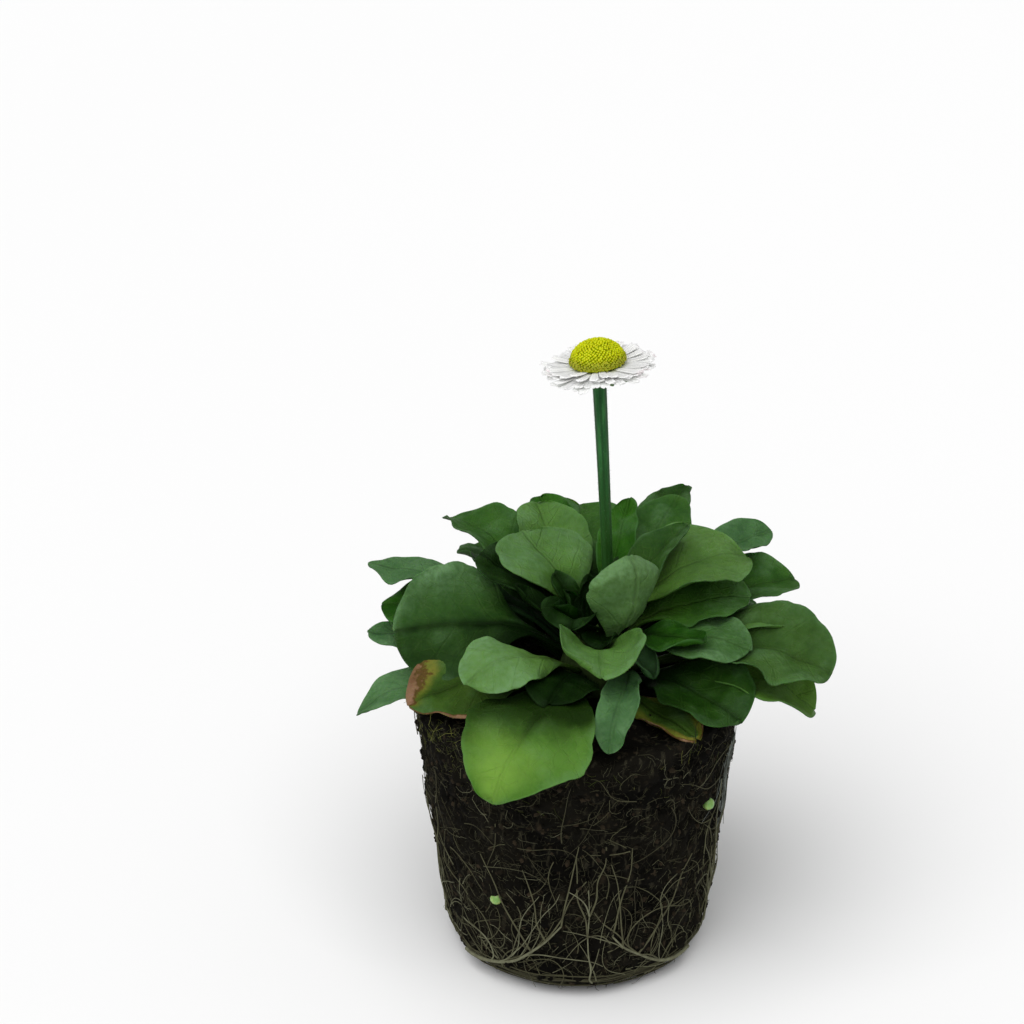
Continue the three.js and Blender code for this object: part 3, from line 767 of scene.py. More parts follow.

# Leaves: spoon-shaped blades on short flat stalks, from the old ones on the rim to the young ones
# in the heart. A blade is half a millimetre of soft tissue, matt on top and paler below, with a
# sunk midrib and a faint net of veins, and each grew from the crown at its own foot. Their colour
# also carries painted shade toward the foot, along the midrib and in hollows, painted light and
# a painted sheen on the lit parts, and painted highlights on the rims.
LEAF_FIELDS = (
    "seat", "at", "reach", "height", "width", "rise",
    "end", "turn", "twist", "cup", "wave", "tone",
)
LEAF_TABLE = {
    1: (0.0, -115, 61, 69, 38, 36, -66, 14, 0, 10, 2.0, "pale"),
    2: (0.0, -52, 42, 76.5, 15, 2, -2, -2, 0, 8, 0.6, "old"),
    3: (0.0, -10, 60, 72, 32, 16, -34, 0, 12, 16, 1.0, "bright"),
    4: (0.0, 17, 68, 79, 13, 12, -4, 2, 0, 20, 0.6, "bright"),
    5: (0.0, 46, 62, 78, 29, 12, -18, 0, 0, 14, 1.2, "mid"),
    6: (0.1, 78, 64, 80, 28, 20, -20, 0, 0, 18, 1.2, "mid"),
    7: (0.0, 108, 63, 78, 28, 12, -20, 0, 0, 14, 1.2, "mid"),
    8: (0.1, 140, 62, 83, 26, 18, -16, 0, 0, 16, 1.2, "mid"),
    9: (0.1, 172, 61, 85, 16, 14, 4, 0, 0, 20, 1.0, "blue"),
    10: (0.0, -171, 64, 71, 16, 0, -34, 4, 0, 18, 1.6, "blue"),
    11: (0.15, -157, 53, 79, 27, 20, -20, 16, 0, 12, 1.0, "old"),
    12: (0.15, -38, 48, 78.5, 28, 18, -16, 0, 13, 10, 0.8, "mid"),
    13: (0.15, -12, 63, 82.5, 28, 19, -38, 4, 10, 10, 1.0, "dark"),
    14: (0.25, -86, 47, 78.5, 11, 28, -70, 32, 0, 30, 0.8, "blue"),
    15: (0.2, -110, 35, 86, 20, 26, -16, 0, 0, 12, 0.6, "dark"),
    16: (0.3, -137, 45, 90, 20, 34, -30, 16, -30, -24, 1.0, "pale"),
    17: (0.45, -175, 53, 93, 35, 40, 0, 3, -36, 12, 1.0, "dark"),
    18: (0.3, 168, 58, 91.5, 25, 36, -10, -3, -12, 8, 0.8, "bright"),
    19: (0.4, 159, 65, 98.5, 19, 38, 2, -5, 0, 8, 0.8, "blue"),
    20: (0.3, 24, 61, 92, 27, 36, -10, 4, 6, 16, 1.0, "mid"),
    21: (0.3, -2, 53, 93.5, 10, 32, 2, 3, 0, 20, 0.5, "pale"),
    22: (0.2, 60, 62, 90, 28, 28, -12, 0, 0, 16, 1.2, "mid"),
    23: (0.3, 92, 63, 97, 28, 40, -12, 0, 0, 16, 1.2, "mid"),
    24: (0.2, 121, 63, 89, 24, 28, -12, 0, 0, 16, 1.2, "mid"),
    25: (0.45, -88, 34, 93, 28, 46, -34, 4, 0, 60, 0.8, "pale"),
    26: (0.45, -54, 26, 87, 12, 28, -20, 0, 0, 70, 0.3, "blue"),
    27: (0.4, -20, 43, 91.5, 22, 37, -20, -8, 8, 10, 0.8, "mid"),
    28: (0.55, -34, 34, 95, 15, 46, -8, 3, 0, 30, 0.5, "bright"),
    29: (0.5, 6, 42, 98, 21, 50, 2, 4, 8, 22, 0.8, "bright"),
    30: (0.65, 20, 44, 105, 35, 60, -14, 0, 10, 12, 1.2, "mid"),
    31: (0.5, 58, 47, 110, 18, 46, 20, 6, 0, 14, 0.8, "mid"),
    32: (0.4, 37, 63, 102, 14, 40, 0, 0, 0, 24, 2.0, "blue"),
    33: (0.35, 64, 63, 107, 14, 42, 10, -2, 0, 40, 1.0, "dark"),
    34: (0.4, 104, 57, 105, 14, 44, 6, 0, 0, 30, 0.8, "bright"),
    35: (0.5, 111, 42, 109, 22, 46, 20, 0, 0, 16, 1.0, "pale"),
    36: (0.4, 130, 60, 103, 22, 42, -4, 2, 0, 18, 1.2, "mid"),
    37: (0.65, 155, 34, 104, 19, 62, 10, 0, 0, 20, 0.8, "dark"),
    38: (0.75, 130, 30, 107, 32, 76, 10, -3, 0, 14, 1.2, "pale"),
    39: (0.75, -170, 22, 104, 10, 74, 50, 0, 0, 30, 0.5, "dark"),
    40: (0.8, -118, 14, 97, 20, 76, -30, 0, 0, 56, 0.6, "mid"),
    41: (0.65, -47, 14, 117, 26, 36, 114, -20, 0, 34, 0.6, "dark"),
    42: (0.65, 72, 33, 115, 11.5, 66, 50, -2, 0, 36, 0.4, "bright"),
    43: (0.8, 33, 29, 115, 14, 76, 50, 10, 0, 26, 0.5, "dark"),
    44: (0.95, -178, 8, 102, 8, 80, 80, 0, 0, 30, 0.3, "mid"),
    45: (0.95, 100, 7, 103, 8, 80, 84, 0, 0, 30, 0.3, "mid"),
}
LEAF_GAP, LEAF_BASE, STALK_HALF, STALK_END, WIDEST, TIP = 0.3, 1.5, 1.5, 0.13, 0.64, 0.99
VEIN_STEP, VEIN_SLANT, VEIN_SHIFT = 7.5, 0.8, 0.45
GENTLE_WAVE, DIMPLE, QUILT, MARGIN_WAVE = 1.5, 0.45, 0.12, 3.0
HANGING, SMALL_OLD, DEAD_TIP, FOLDED, TURNED_OVER = 1, 2, 11, 17, 41


def leaf_finish(name, shade, light, roughness):
    """Leaf skin mottled between a darker and a lighter green, with paler ribs, and yellow and brown parts,
    and with painted shade, painted light, a painted sheen and painted rim highlights over it.
    """
    material, net = new_finish(name)
    shade, light = np.array(shade), np.array(light)
    across, along, upper = net.number("across"), net.number("along"), net.number("upper")
    yellow, brown, rim_highlight = net.number("yellow"), net.number("brown"), net.number("rim_highlight")
    away = abs(across)
    cloud = net.speckle(0.0042, 4.0)
    fine = net.speckle(0.0009, 6.0, roughness=0.65)
    rib = 1 - away.between(0.05, 0.8)
    wobble = (net.speckle(0.012, 2.0) - 0.5) * 9.0
    phase = (along - away * VEIN_SLANT + wobble) / VEIN_STEP
    phase = phase + net.math("GREATER_THAN", across, 0.0) * VEIN_SHIFT
    off_vein = abs(net.math("FRACT", phase) - 0.5) * VEIN_STEP
    vein = (1 - off_vein.between(0.1, 0.5)) * away.between(0.3, 1.0) * cloud.between(0.3, 0.6)
    grid = net.vector(across * 0.001, along * 0.00075, upper)
    inputs = {"Vector": grid, "Scale": 360.0, "Randomness": 1.0}
    cells = net.node("ShaderNodeTexVoronoi", {"feature": "DISTANCE_TO_EDGE"}, inputs)["Distance"]
    mesh_lines = (1 - cells.between(0.0, 0.08)) * cloud.between(0.38, 0.6)
    green = net.blend(cloud.between(0.28, 0.72), shade, light)
    green = net.blend(fine.between(0.35, 0.7) * 0.6, green, light)
    # Waxy bloom together with a painted sheen, which is stronger on faces that look up.
    facing = net.height(net.node("ShaderNodeTexCoord")["Normal"])
    powder = 0.55 + 0.45 * net.speckle(0.0007, 3.0).between(0.3, 0.7)
    bloom_and_painted_sheen = net.number("bloom_and_sheen") * powder * (0.4 + 0.6 * facing.between(0.1, 0.9))
    green = net.blend(bloom_and_painted_sheen, green, (0.12, 0.23, 0.102))
    # Painted shade: the leaf darkens toward a very dark green where it lies under others, near its foot and
    # in hollows.
    painted_shade = net.number("painted_shade").between(0.0, 1.0)
    green = net.blend(painted_shade, green, 0.2 * shade)
    # Painted light: a bright yellow-green where light would shine through the blade.
    lit = net.number("painted_light") * (0.4 + 1.2 * cloud)
    green = net.blend(lit, green, mix(light, (0.2, 0.36, 0.05), 0.6))
    pale_lines = (rib * 0.07).most(vein * 0.07).most(mesh_lines * 0.1) * (1 - painted_shade * 0.85)
    green = net.blend(pale_lines, green, mix(light, (0.2, 0.32, 0.1), 0.4))
    green = net.blend((1 - upper) * (1 - painted_shade * 0.9) * 0.6, green, 0.7 * light)
    # Painted highlight along the margins and at the tip.
    green = net.blend(rim_highlight * (1 - painted_shade) * 0.35, green, mix(light, (0.13, 0.25, 0.12), 0.5))
    yellow_skin = net.blend(cloud.between(0.3, 0.7), (0.075, 0.11, 0.01), (0.17, 0.16, 0.025))
    green = net.blend((yellow + (cloud - 0.5) * yellow * 2.2).between(0.25, 0.8), green, yellow_skin)
    withered = brown + ((cloud - 0.5) * 1.2 + (fine - 0.5) * 0.6) * brown.between(0.0, 0.1)
    green = net.blend(withered.between(0.3, 0.42) * 0.85, green, (0.075, 0.035, 0.012))
    brown_skin = net.blend(cloud.between(0.3, 0.7), (0.11, 0.055, 0.025), (0.25, 0.15, 0.085))
    green = net.blend(withered.between(0.46, 0.6), green, brown_skin)
    hollow = rib * 0.55 + vein * 0.25 - mesh_lines * 0.2
    net.surface(
        relief=1 - hollow + 0.6 * fine + 1.1 * cloud,
        depth=0.0005,
        base_color=green,
        roughness=roughness + 0.12 * (fine - 0.5),
        specular_ior_level=0.035,
        subsurface_weight=0.18,
        subsurface_radius=(0.4, 1.0, 0.12),
        subsurface_scale=0.0015,
    )
    return material


LEAF_SKINS = {
    "pale": leaf_finish("leaf_skin_pale", (0.042, 0.115, 0.012), (0.078, 0.18, 0.026), 0.55),
    "bright": leaf_finish("leaf_skin_bright", (0.01, 0.056, 0.0025), (0.024, 0.098, 0.005), 0.5),
    "mid": leaf_finish("leaf_skin_mid", (0.011, 0.05, 0.0035), (0.028, 0.09, 0.0075), 0.55),
    "blue": leaf_finish("leaf_skin_blue", (0.02, 0.07, 0.018), (0.045, 0.12, 0.036), 0.58),
    "dark": leaf_finish("leaf_skin_dark", (0.01, 0.042, 0.0035), (0.023, 0.068, 0.0075), 0.6),
    "old": leaf_finish("leaf_skin_old", (0.03, 0.075, 0.006), (0.055, 0.115, 0.012), 0.6),
}
# Per tone and per leaf: how much waxy bloom and painted sheen, how much painted light shines through, and how
# much painted shade lies on each leaf.
TONE_BLOOM_AND_SHEEN = {"pale": 0.35, "bright": 0.05, "mid": 0.14, "blue": 0.35, "dark": 0.12, "old": 0.1}
LEAF_BLOOM_AND_SHEEN = {
    1: 0.0, 10: 0.4, 12: 0.03, 13: 0.26, 14: 0.5, 15: 0.0, 16: 0.9, 17: 0.16,
    20: 0.12, 25: 0.5, 27: 0.5, 29: 0.2, 30: 0.45, 38: 0.55,
}
LEAF_PAINTED_LIGHT = {3: 0.45, 13: 0.1, 16: 0.1, 29: 0.1, 30: 0.25, 41: 0.15}
LEAF_PAINTED_SHADE = {
    5: 0.2, 6: 0.2, 12: 0.5, 13: 0.2, 15: 0.7, 18: 0.2, 20: 0.1, 26: 0.5, 28: 0.3, 33: 0.2, 37: 0.6,
    39: 0.8, 40: 0.7, 44: 0.85, 45: 0.85, 51: 0.8, 52: 0.8, 53: 0.9, 54: 0.5, 55: 0.6, 56: 0.8,
}
LEAF_FOLDS = {
    1: (0, -4), 14: (0, 0), 16: (0, 10), 17: (10, -26),
    25: (0, 0), 30: (10, -8), 38: (-10, 8), 41: (8, 8),
}


def turn_about(vector, axis, angle):
    """Each vector turned about its own axis, which stands square to it."""
    return vector * np.cos(angle)[:, None] + np.cross(axis, vector) * np.sin(angle)[:, None]


def heading(at, rise):
    return np.array([math.cos(rise) * math.cos(at), math.cos(rise) * math.sin(at), math.sin(rise)])


def leaf_rib(leaf, t):
    """Points along the rib, with a side and an up direction at each."""
    tip_at = math.radians(leaf["at"])
    foot_at = math.radians(leaf["at"] + leaf["turn"])
    rise, end = math.radians(leaf["rise"]), math.radians(leaf["end"])
    seat = math.radians(75) * leaf["seat"]
    normal = np.array([math.cos(seat) / CROWN_RADIUS, math.sin(seat) / CROWN_HEIGHT])
    normal /= np.linalg.norm(normal)
    facing = math.cos(rise) * normal[0] + math.sin(rise) * normal[1]
    clear = LEAF_GAP + LEAF_BASE / 2 * math.sqrt(1 - facing**2)
    out = CROWN_RADIUS * math.cos(seat) + clear * normal[0]
    up = CROWN_HEIGHT * math.sin(seat) + clear * normal[1]
    a = np.array([CROWN_X + out * math.cos(foot_at), CROWN_Y + out * math.sin(foot_at), CROWN_Z + up])
    reach = leaf["reach"]
    d = np.array([CROWN_X + reach * math.cos(tip_at), CROWN_Y + reach * math.sin(tip_at), leaf["height"]])
    pull = 0.4 * np.linalg.norm(d - a)
    b = a + heading(foot_at, rise) * pull
    c = d - heading(tip_at, end) * pull
    s = t[:, None]
    point = a * (1 - s) ** 3 + 3 * b * s * (1 - s) ** 2 + 3 * c * s**2 * (1 - s) + d * s**3
    forward = 3 * (b - a) * (1 - s) ** 2 + 6 * (c - b) * s * (1 - s) + 3 * (d - c) * s**2
    forward /= np.linalg.norm(forward, axis=1)[:, None]
    at = mix(foot_at, tip_at, t)
    side = np.stack([-np.sin(at), np.cos(at), 0 * at], -1)
    side -= forward * np.sum(side * forward, axis=1)[:, None]
    side /= np.linalg.norm(side, axis=1)[:, None]
    side = turn_about(side, forward, math.radians(leaf["twist"]) * smooth(t))
    return point, side, np.cross(forward, side)


def sheet_normals(grid):
    normal = np.cross(np.gradient(grid, axis=0), np.gradient(grid, axis=1))
    return normal / np.maximum(1e-9, np.linalg.norm(normal, axis=2))[..., None]


def sheet_faces(steps, wide):
    """Faces of a thin closed sheet, from rows of upper points and then as many lower ones."""
    below, last, edge = steps * wide, (steps - 1) * wide, wide - 1
    faces = []
    for j in range(steps - 1):
        for i in range(edge):
            a, b = j * wide + i, (j + 1) * wide + i
            faces.append((a, b, b + 1, a + 1))
            faces.append((below + a, below + a + 1, below + b + 1, below + b))
        a, b = j * wide, (j + 1) * wide
        faces.append((a, below + a, below + b, b))
        faces.append((a + edge, b + edge, below + b + edge, below + a + edge))
    for i in range(edge):
        faces.append((i, i + 1, below + i + 1, below + i))
        faces.append((last + i, below + last + i, below + last + i + 1, last + i + 1))
    return faces


def leaf_tones(number, tone, T, V, mm_across, crest):
    """The numbers that colour a leaf: its bloom and painted sheen, painted shade, painted light and painted
    rim highlight, and its withered parts.
    """
    lit_from = {TURNED_OVER: 0.2, 30: 0.4}.get(number, 0.68)
    yellow, brown, painted_light = 0 * T, 0 * T, LEAF_PAINTED_LIGHT.get(number, 0.0) + 0 * T
    # Bloom and painted sheen, stronger toward the tip and the margins, with painted highlights on the crests.
    bloom_and_sheen = LEAF_BLOOM_AND_SHEEN.get(number, TONE_BLOOM_AND_SHEEN[tone]) * mix(0.3, 1.0, smooth((T - 0.35) / 0.45))
    bloom_and_sheen = bloom_and_sheen * mix(0.65, 1.3, V**2) + 0.25 * smooth(2.4 * crest)
    # Painted shade toward the foot of the blade, along the midrib and in the hollows.
    painted_shade = LEAF_PAINTED_SHADE.get(number, 0.0) + 0.85 * (1 - smooth((T - 0.05) / (lit_from - 0.05)))
    painted_shade += 0.22 * np.exp(-((mm_across / 1.3) ** 2)) + 0.14 * smooth(-2.4 * crest)
    # Painted highlight on the margins and the tip.
    rim_highlight = np.maximum(smooth((np.abs(V) - 0.9) / 0.1), smooth((T - 0.97) / 0.02)) * smooth((T - 0.3) / 0.2)
    if number == HANGING:
        # A painted patch of light on the lower blade, and a painted shadow of the leaf above across its top.
        painted_light = 0.8 * smooth(1.15 - np.hypot((T - 0.86) / 0.21, (V + 0.2) / 0.9))
        painted_shade += 0.75 * (1 - smooth((T - 0.5 + 0.16 * V) / 0.3))
    elif number == SMALL_OLD:
        yellow = smooth((np.abs(V) - 0.2) / 0.6) * smooth((T - 0.2) / 0.3)
        brown = 0.45 * smooth((np.abs(V) - 0.75) / 0.2)
    elif number == DEAD_TIP:
        yellow = 0.6 * smooth((T - 0.7 - 0.15 * V) / 0.25)
        # Painted shade over the whole blade.
        painted_shade += 0.3
        dead = 0.9 * smooth((T - 0.81 - 0.14 * V) / 0.3)
        brown = np.maximum(dead, 0.75 * smooth((V - 0.82) / 0.15) * smooth((T - 0.55) / 0.2))
    elif number == FOLDED:
        # Painted shade on the lower half and along the fold, and a painted highlight on the upper margin.
        painted_shade += 0.45 * smooth((V + 0.3) / 0.8) + 0.3 * np.exp(-(((V + 0.02) / 0.16) ** 2))
        bloom_and_sheen += 0.6 * smooth((-0.3 - V) / 0.7) * smooth((T - 0.35) / 0.4)
    elif number == TURNED_OVER:
        # Painted sheen over the whole turned-over blade.
        bloom_and_sheen = 1.25 + 0 * T
    return {"yellow": yellow, "brown": brown, "painted_light": painted_light, "bloom_and_sheen": bloom_and_sheen, "painted_shade": painted_shade, "rim_highlight": rim_highlight}


def leaf_blade(name, number, leaf, steps=46, stripes=22):
    """A leaf from its row of the table. T runs from its foot to its tip, V from margin to margin."""
    t = TIP * np.sin(np.pi / 2 * np.linspace(0, 1, steps))
    v = np.sin(np.pi / 2 * np.linspace(-1, 1, stripes + 1))
    point, side, up = leaf_rib(leaf, t)
    length = np.concatenate([[0], np.cumsum(np.linalg.norm(np.diff(point, axis=0), axis=1))])
    half_blade = leaf["width"] / 2
    stalk = mix(STALK_HALF, half_blade, smooth((t - STALK_END) / (WIDEST - STALK_END)))
    blade = half_blade * np.sqrt(np.clip(1 - (np.clip(t - WIDEST, 0, 1) / (TIP - WIDEST)) ** 2.3, 0, 1))
    half = np.where(t < WIDEST, stalk, blade)
    T, V = np.meshgrid(t, v, indexing="ij")
    along = np.repeat(length[:, None], stripes + 1, axis=1)
    left = (V < 0).astype(float)
    notch = np.abs(np.sin(along * 0.55 + number + 1.3 * left)) ** 6 * smooth((T - 0.4) / 0.2)
    H = half[:, None] * (1 - np.clip(notch * 0.5 / np.maximum(half[:, None], 3), 0, 0.04) * np.abs(V) ** 3)
    if number == HANGING:
        H *= 1 - 0.36 * left * smooth((T - 0.45) / 0.5) - 0.34 * (1 - left) * smooth((T - 0.7) / 0.3)
    own = [noise.noise(Vector((number * 1.71, 0.37 + 2.3 * k, 0.5))) for k in range(3)]
    folds = LEAF_FOLDS.get(number, (4 + 34 * own[0], 4 + 34 * own[1]))
    fold = np.radians(np.where(left > 0, folds[0], folds[1])) * smooth((T - 0.1) / 0.4)
    bend = math.radians(leaf["cup"])
    across = H * np.sin(bend * V) / bend * np.cos(fold)
    raised = H * (1 - np.cos(bend * V)) / bend + H * (np.sqrt(V**2 + 0.01) - 0.1) * np.sin(fold)
    raised += 3.0 * own[2] * smooth((T - 0.7) / 0.3) ** 2
    phase = 9 * T + leaf["at"] + 2.2 * left
    ripple = 1.2 * leaf["wave"] * V**2 * smooth((T - 0.25) / 0.3) * np.sin(phase)
    ripple = ripple * 2 * half[:, None] / leaf["width"]
    middle = point[:, None] + side[:, None] * across[..., None] + up[:, None] * (raised + ripple)[..., None]

    mm_across = H * V
    vein_phase = (along - VEIN_SLANT * np.abs(mm_across)) / VEIN_STEP + VEIN_SHIFT * (1 - left)
    quilt = np.cos(2 * np.pi * (vein_phase - 0.5)) * smooth(np.abs(mm_across) / 3) * (1 - V**4)
    spots = middle.reshape(-1, 3)
    gentle = bumps(spots, 0.11, (number, 0, 0)).reshape(T.shape)
    dimples = bumps(spots, 0.34, (0, number, 0)).reshape(T.shape)
    margin = [(a * 0.13, number * 3.1, 5 * n) for a, n in zip(along.flat, left.flat)]
    lift = (QUILT * quilt + DIMPLE * dimples * (1 - V**6)) * smooth(T / 0.4)
    lift += GENTLE_WAVE * gentle * smooth(T / 0.3) * (1 - 0.6 * smooth((T - 0.8) / 0.18))
    lift += MARGIN_WAVE * bumps(margin, 1.0).reshape(T.shape) * V**4 * smooth((T - 0.15) / 0.35)
    groove = np.exp(-((mm_across / 0.6) ** 2)) * (1 - 0.8 * T)
    thick = mix(0.32, 0.75, (1 - T) ** 2) * (1 - 0.6 * V**4)
    normal = sheet_normals(middle)
    over = middle + normal * (thick + lift - 0.22 * groove * smooth(T / 0.25))[..., None]
    under = middle + normal * (-thick + lift - 0.35 * groove)[..., None]

    numbers = leaf_tones(number, leaf["tone"], T, V, mm_across, gentle + 0.5 * dimples)
    numbers.update({"across": mm_across, "along": along})
    numbers = {key: np.tile(grid.reshape(-1), 2) for key, grid in numbers.items()}
    numbers["upper"] = np.concatenate([np.ones(T.size), np.full(T.size, float(number == TURNED_OVER))])
    points = np.vstack([over.reshape(-1, 3), under.reshape(-1, 3)])
    piece = make_object(name, points, sheet_faces(steps, stripes + 1), **numbers)
    piece.data.materials.append(LEAF_SKINS[leaf["tone"]])
    return piece


for number, row in LEAF_TABLE.items():
    leaf = dict(zip(LEAF_FIELDS, row))
    blade = leaf_blade(f"daisy_leaf_{number:02d}", number, leaf)
    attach(blade, "root")
    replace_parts(blade, f"leaf_{number:02d}")
    "leaf_" + leaf["tone"]

# Heart leaves: the newest leaves, small and still upright, which close the middle of the rosette.
# They are soft and green, darkened with painted shade deep in the heart, and unfold from the top of the
# crown.
HEART_LEAVES = {
    51: (0.9, -60, 10, 99, 7, 70, 50, 10, 0, 36, 0.3, "mid"),
    52: (0.85, -105, 13, 97, 8, 66, 40, -12, 0, 36, 0.3, "dark"),
    53: (0.88, -150, 12, 101, 8, 72, 60, 8, 0, 40, 0.3, "bright"),
    54: (0.85, 62, 15, 104, 8.5, 70, 56, 0, 0, 36, 0.3, "mid"),
    55: (0.88, 140, 13, 103, 8, 74, 64, -8, 0, 40, 0.3, "mid"),
    56: (0.82, -82, 18, 95, 9, 60, 20, 6, 0, 30, 0.4, "dark"),
}
for number, row in HEART_LEAVES.items():
    leaf = dict(zip(LEAF_FIELDS, row))
    blade = leaf_blade(f"heart_leaf_{number - 50}", number, leaf, 24, 12)
    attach(blade, "root")
    "leaf_" + leaf["tone"]

# Flower stem: the bare green stalk of the flower. It is round and slightly ribbed, thicker under
# the head, covered in short soft hairs, and rises from the crown beside its middle.
STEM_BASE, STEM_RADIUS, STEM_TOP_RADIUS, STEM_ROWS, STEM_SIDES = (8.5, 3.5, 83.8), 1.4, 1.8, 60, 30
HEAD_PLACE, HEAD_LEAN = Vector((4.0, -6.0, 169.0)), 6.0
head_turn = Matrix.Rotation(math.radians(-HEAD_LEAN), 4, "Y")

stem_skin, net = new_finish("stem_skin")
stripe = net.speckle(0.0007, 3.0, net.stretched((1.0, 1.0, 0.03)))
green = net.blend(stripe.between(0.35, 0.7), (0.018, 0.088, 0.024), (0.038, 0.16, 0.044))
# Painted shade in the furrows between the ribs.
green = net.blend(net.number("furrow").between(0.4, 1.0) * 0.7, green, (0.01, 0.045, 0.014))
# Painted shade: the lower stem, under the leaves, is darker.
shaded_low_green = net.blend(0.8, green, (0.016, 0.06, 0.006))
green = net.blend(net.height(net.place()).between(0.115, 0.15), shaded_low_green, green)
net.surface(
    relief=stripe,
    depth=0.00012,
    base_color=green,
    roughness=0.5,
    specular_ior_level=0.08,
    subsurface_weight=0.1,
    subsurface_scale=0.001,
)

stem_top = Matrix.Translation(HEAD_PLACE) @ head_turn @ Vector((0, 0, -2.4))
share = np.linspace(0, 1, STEM_ROWS)
eased = zip(STEM_BASE, stem_top, (share**1.2, share**1.6, share))
path = np.stack([mix(foot, top, ease) for foot, top, ease in eased], -1)
forward = np.gradient(path, axis=0)
forward /= np.linalg.norm(forward, axis=1)[:, None]
first = np.array([1.0, 0, 0]) - forward * forward[:, :1]
first /= np.linalg.norm(first, axis=1)[:, None]
second = np.cross(forward, first)
turn = np.linspace(0, 2 * np.pi, STEM_SIDES, endpoint=False)
radius = mix(STEM_RADIUS, STEM_TOP_RADIUS, share**2)[:, None] * (1 + 0.035 * np.cos(6 * turn) - 0.03)[None]
stem_points = path[:, None] + first[:, None] * (radius * np.cos(turn))[..., None]
stem_points = (stem_points + second[:, None] * (radius * np.sin(turn))[..., None]).reshape(-1, 3)
# Depth in the furrows, which the stem skin darkens as painted shade.
furrows = np.tile(0.5 - 0.5 * np.cos(6 * turn), STEM_ROWS)
stem_faces = skin_faces(STEM_ROWS, STEM_SIDES, capped=True)
flower_stem = make_object("ribbed_stem", stem_points, stem_faces, furrow=furrows)
flower_stem.data.materials.append(stem_skin)
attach(flower_stem, "root")
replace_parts(flower_stem, "flower_stem")

soft_hair, net = new_finish("soft_hair")
hair_colour = net.blend(net.number("tint"), (0.05, 0.13, 0.045), (0.14, 0.25, 0.12))
net.surface(base_color=hair_colour, roughness=0.6, specular_ior_level=0.1)
hair_shape = make_object(
    "hair_shape",
    [(-0.035, -0.02, -0.1), (0.035, -0.02, -0.1), (0, 0.04, -0.1), (0.08, 0.05, 0.55)],
    [(0, 2, 1), (0, 1, 3), (1, 2, 3), (2, 0, 3)],
)
carry(flower_stem.data, cover=smooth((stem_points[:, 2] - 92) / 20))
stem_hairs = grow_copies(
    "stem_hairs",
    flower_stem,
    scatter,
    [hair_shape],
    Density=2200000.0,
    Smallest=0.5,
    Largest=1.0,
    Sink=0.0,
    Lean=0.5,
    Palest=1.0,
    Seed=2,
    Material=soft_hair,
)
flower_stem.data.attributes.remove(flower_stem.data.attributes["cover"])
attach(stem_hairs, "root")

# Bracts: the green cup under the flower, with thirteen pointed lobes. It is firm leaf tissue that
# closes over the bud, grown on the top of the stem.
BRACT_COUNT, BRACT_START, BRACT_LENGTH, BRACT_WIDTH = 13, 5.4, 5.2, 3.3
BRACT_STEPS, BRACT_ACROSS, BRACT_THICKNESS = 9, 9, 0.6
CUP_PROFILE = (
    (2.25, -5.0), (2.6, -4.9), (3.4, -4.5), (4.4, -3.9),
    (5.6, -3.3), (6.6, -2.7), (7.1, -2.0), (7.2, -1.4),
)
bract_skin, net = new_finish("bract_skin")
streak = net.speckle(0.0009, 3.0)
green = net.blend(streak.between(0.3, 0.7), (0.03, 0.09, 0.015), (0.075, 0.17, 0.035))
net.surface(
    relief=streak,
    depth=0.00015,
    base_color=green,
    roughness=0.6,
    subsurface_weight=0.15,
    subsurface_scale=0.001,
)

around_head, net, given = new_growth(
    "ring_of_copies",
    Shapes="Collection",
    Count="Int",
    First="Float",
    Spread="Float",
    Lift="Float",
    Stagger="Float",
    Seed="Int",
    Material="Material",
)
index = net.node("GeometryNodeInputIndex")["Index"]
jitter = chance(net, -0.5, 0.5, given["Seed"], index)
tilt = chance(net, -0.5, 0.5, given["Seed"] + 1, index)
shorter = chance(net, 0.86, 1.0, given["Seed"] + 2, index)
angle = given["First"] + (index + jitter * given["Spread"]) * 2 * math.pi / given["Count"]
copies = copies_at(
    net,
    net.node("GeometryNodePoints", {}, {"Count": given["Count"]})["Geometry"],
    given["Shapes"],
    chance(net, 0, 63, given["Seed"] + 3, index, "INT"),
    turned(net, tilt * given["Stagger"], 0 - given["Lift"] - jitter * given["Stagger"], angle),
    net.vector(shorter, 1.0, 1.0),
    tint=tilt + 0.5,
)
finish_growth(net, copies, given["Material"])


def strap(name, rows, thickness, **numbers):
    """A thin closed strap from rows of points across it."""
    grid = np.array(rows)
    steps, wide = grid.shape[:2]
    edge = 1 - 0.6 * np.abs(np.linspace(-1, 1, wide)) ** 3
    shift = sheet_normals(grid) * (thickness / 2 * edge)[None, :, None]
    points = np.vstack([(grid + shift).reshape(-1, 3), (grid - shift).reshape(-1, 3)])
    return make_object(name, points, sheet_faces(steps, wide), **numbers)


def turned_points(profile, sides):
    """Points on rings round the z axis, one ring for each radius and height of a profile."""
    turn = np.linspace(0, 2 * np.pi, sides, endpoint=False)
    return [(radius * math.cos(a), radius * math.sin(a), z) for radius, z in profile for a in turn]


def set_on_head(piece):
    """A piece made round the origin is moved and leaned to where the head stands."""
    piece.data.transform(Matrix.Translation(HEAD_PLACE * MM) @ head_turn)


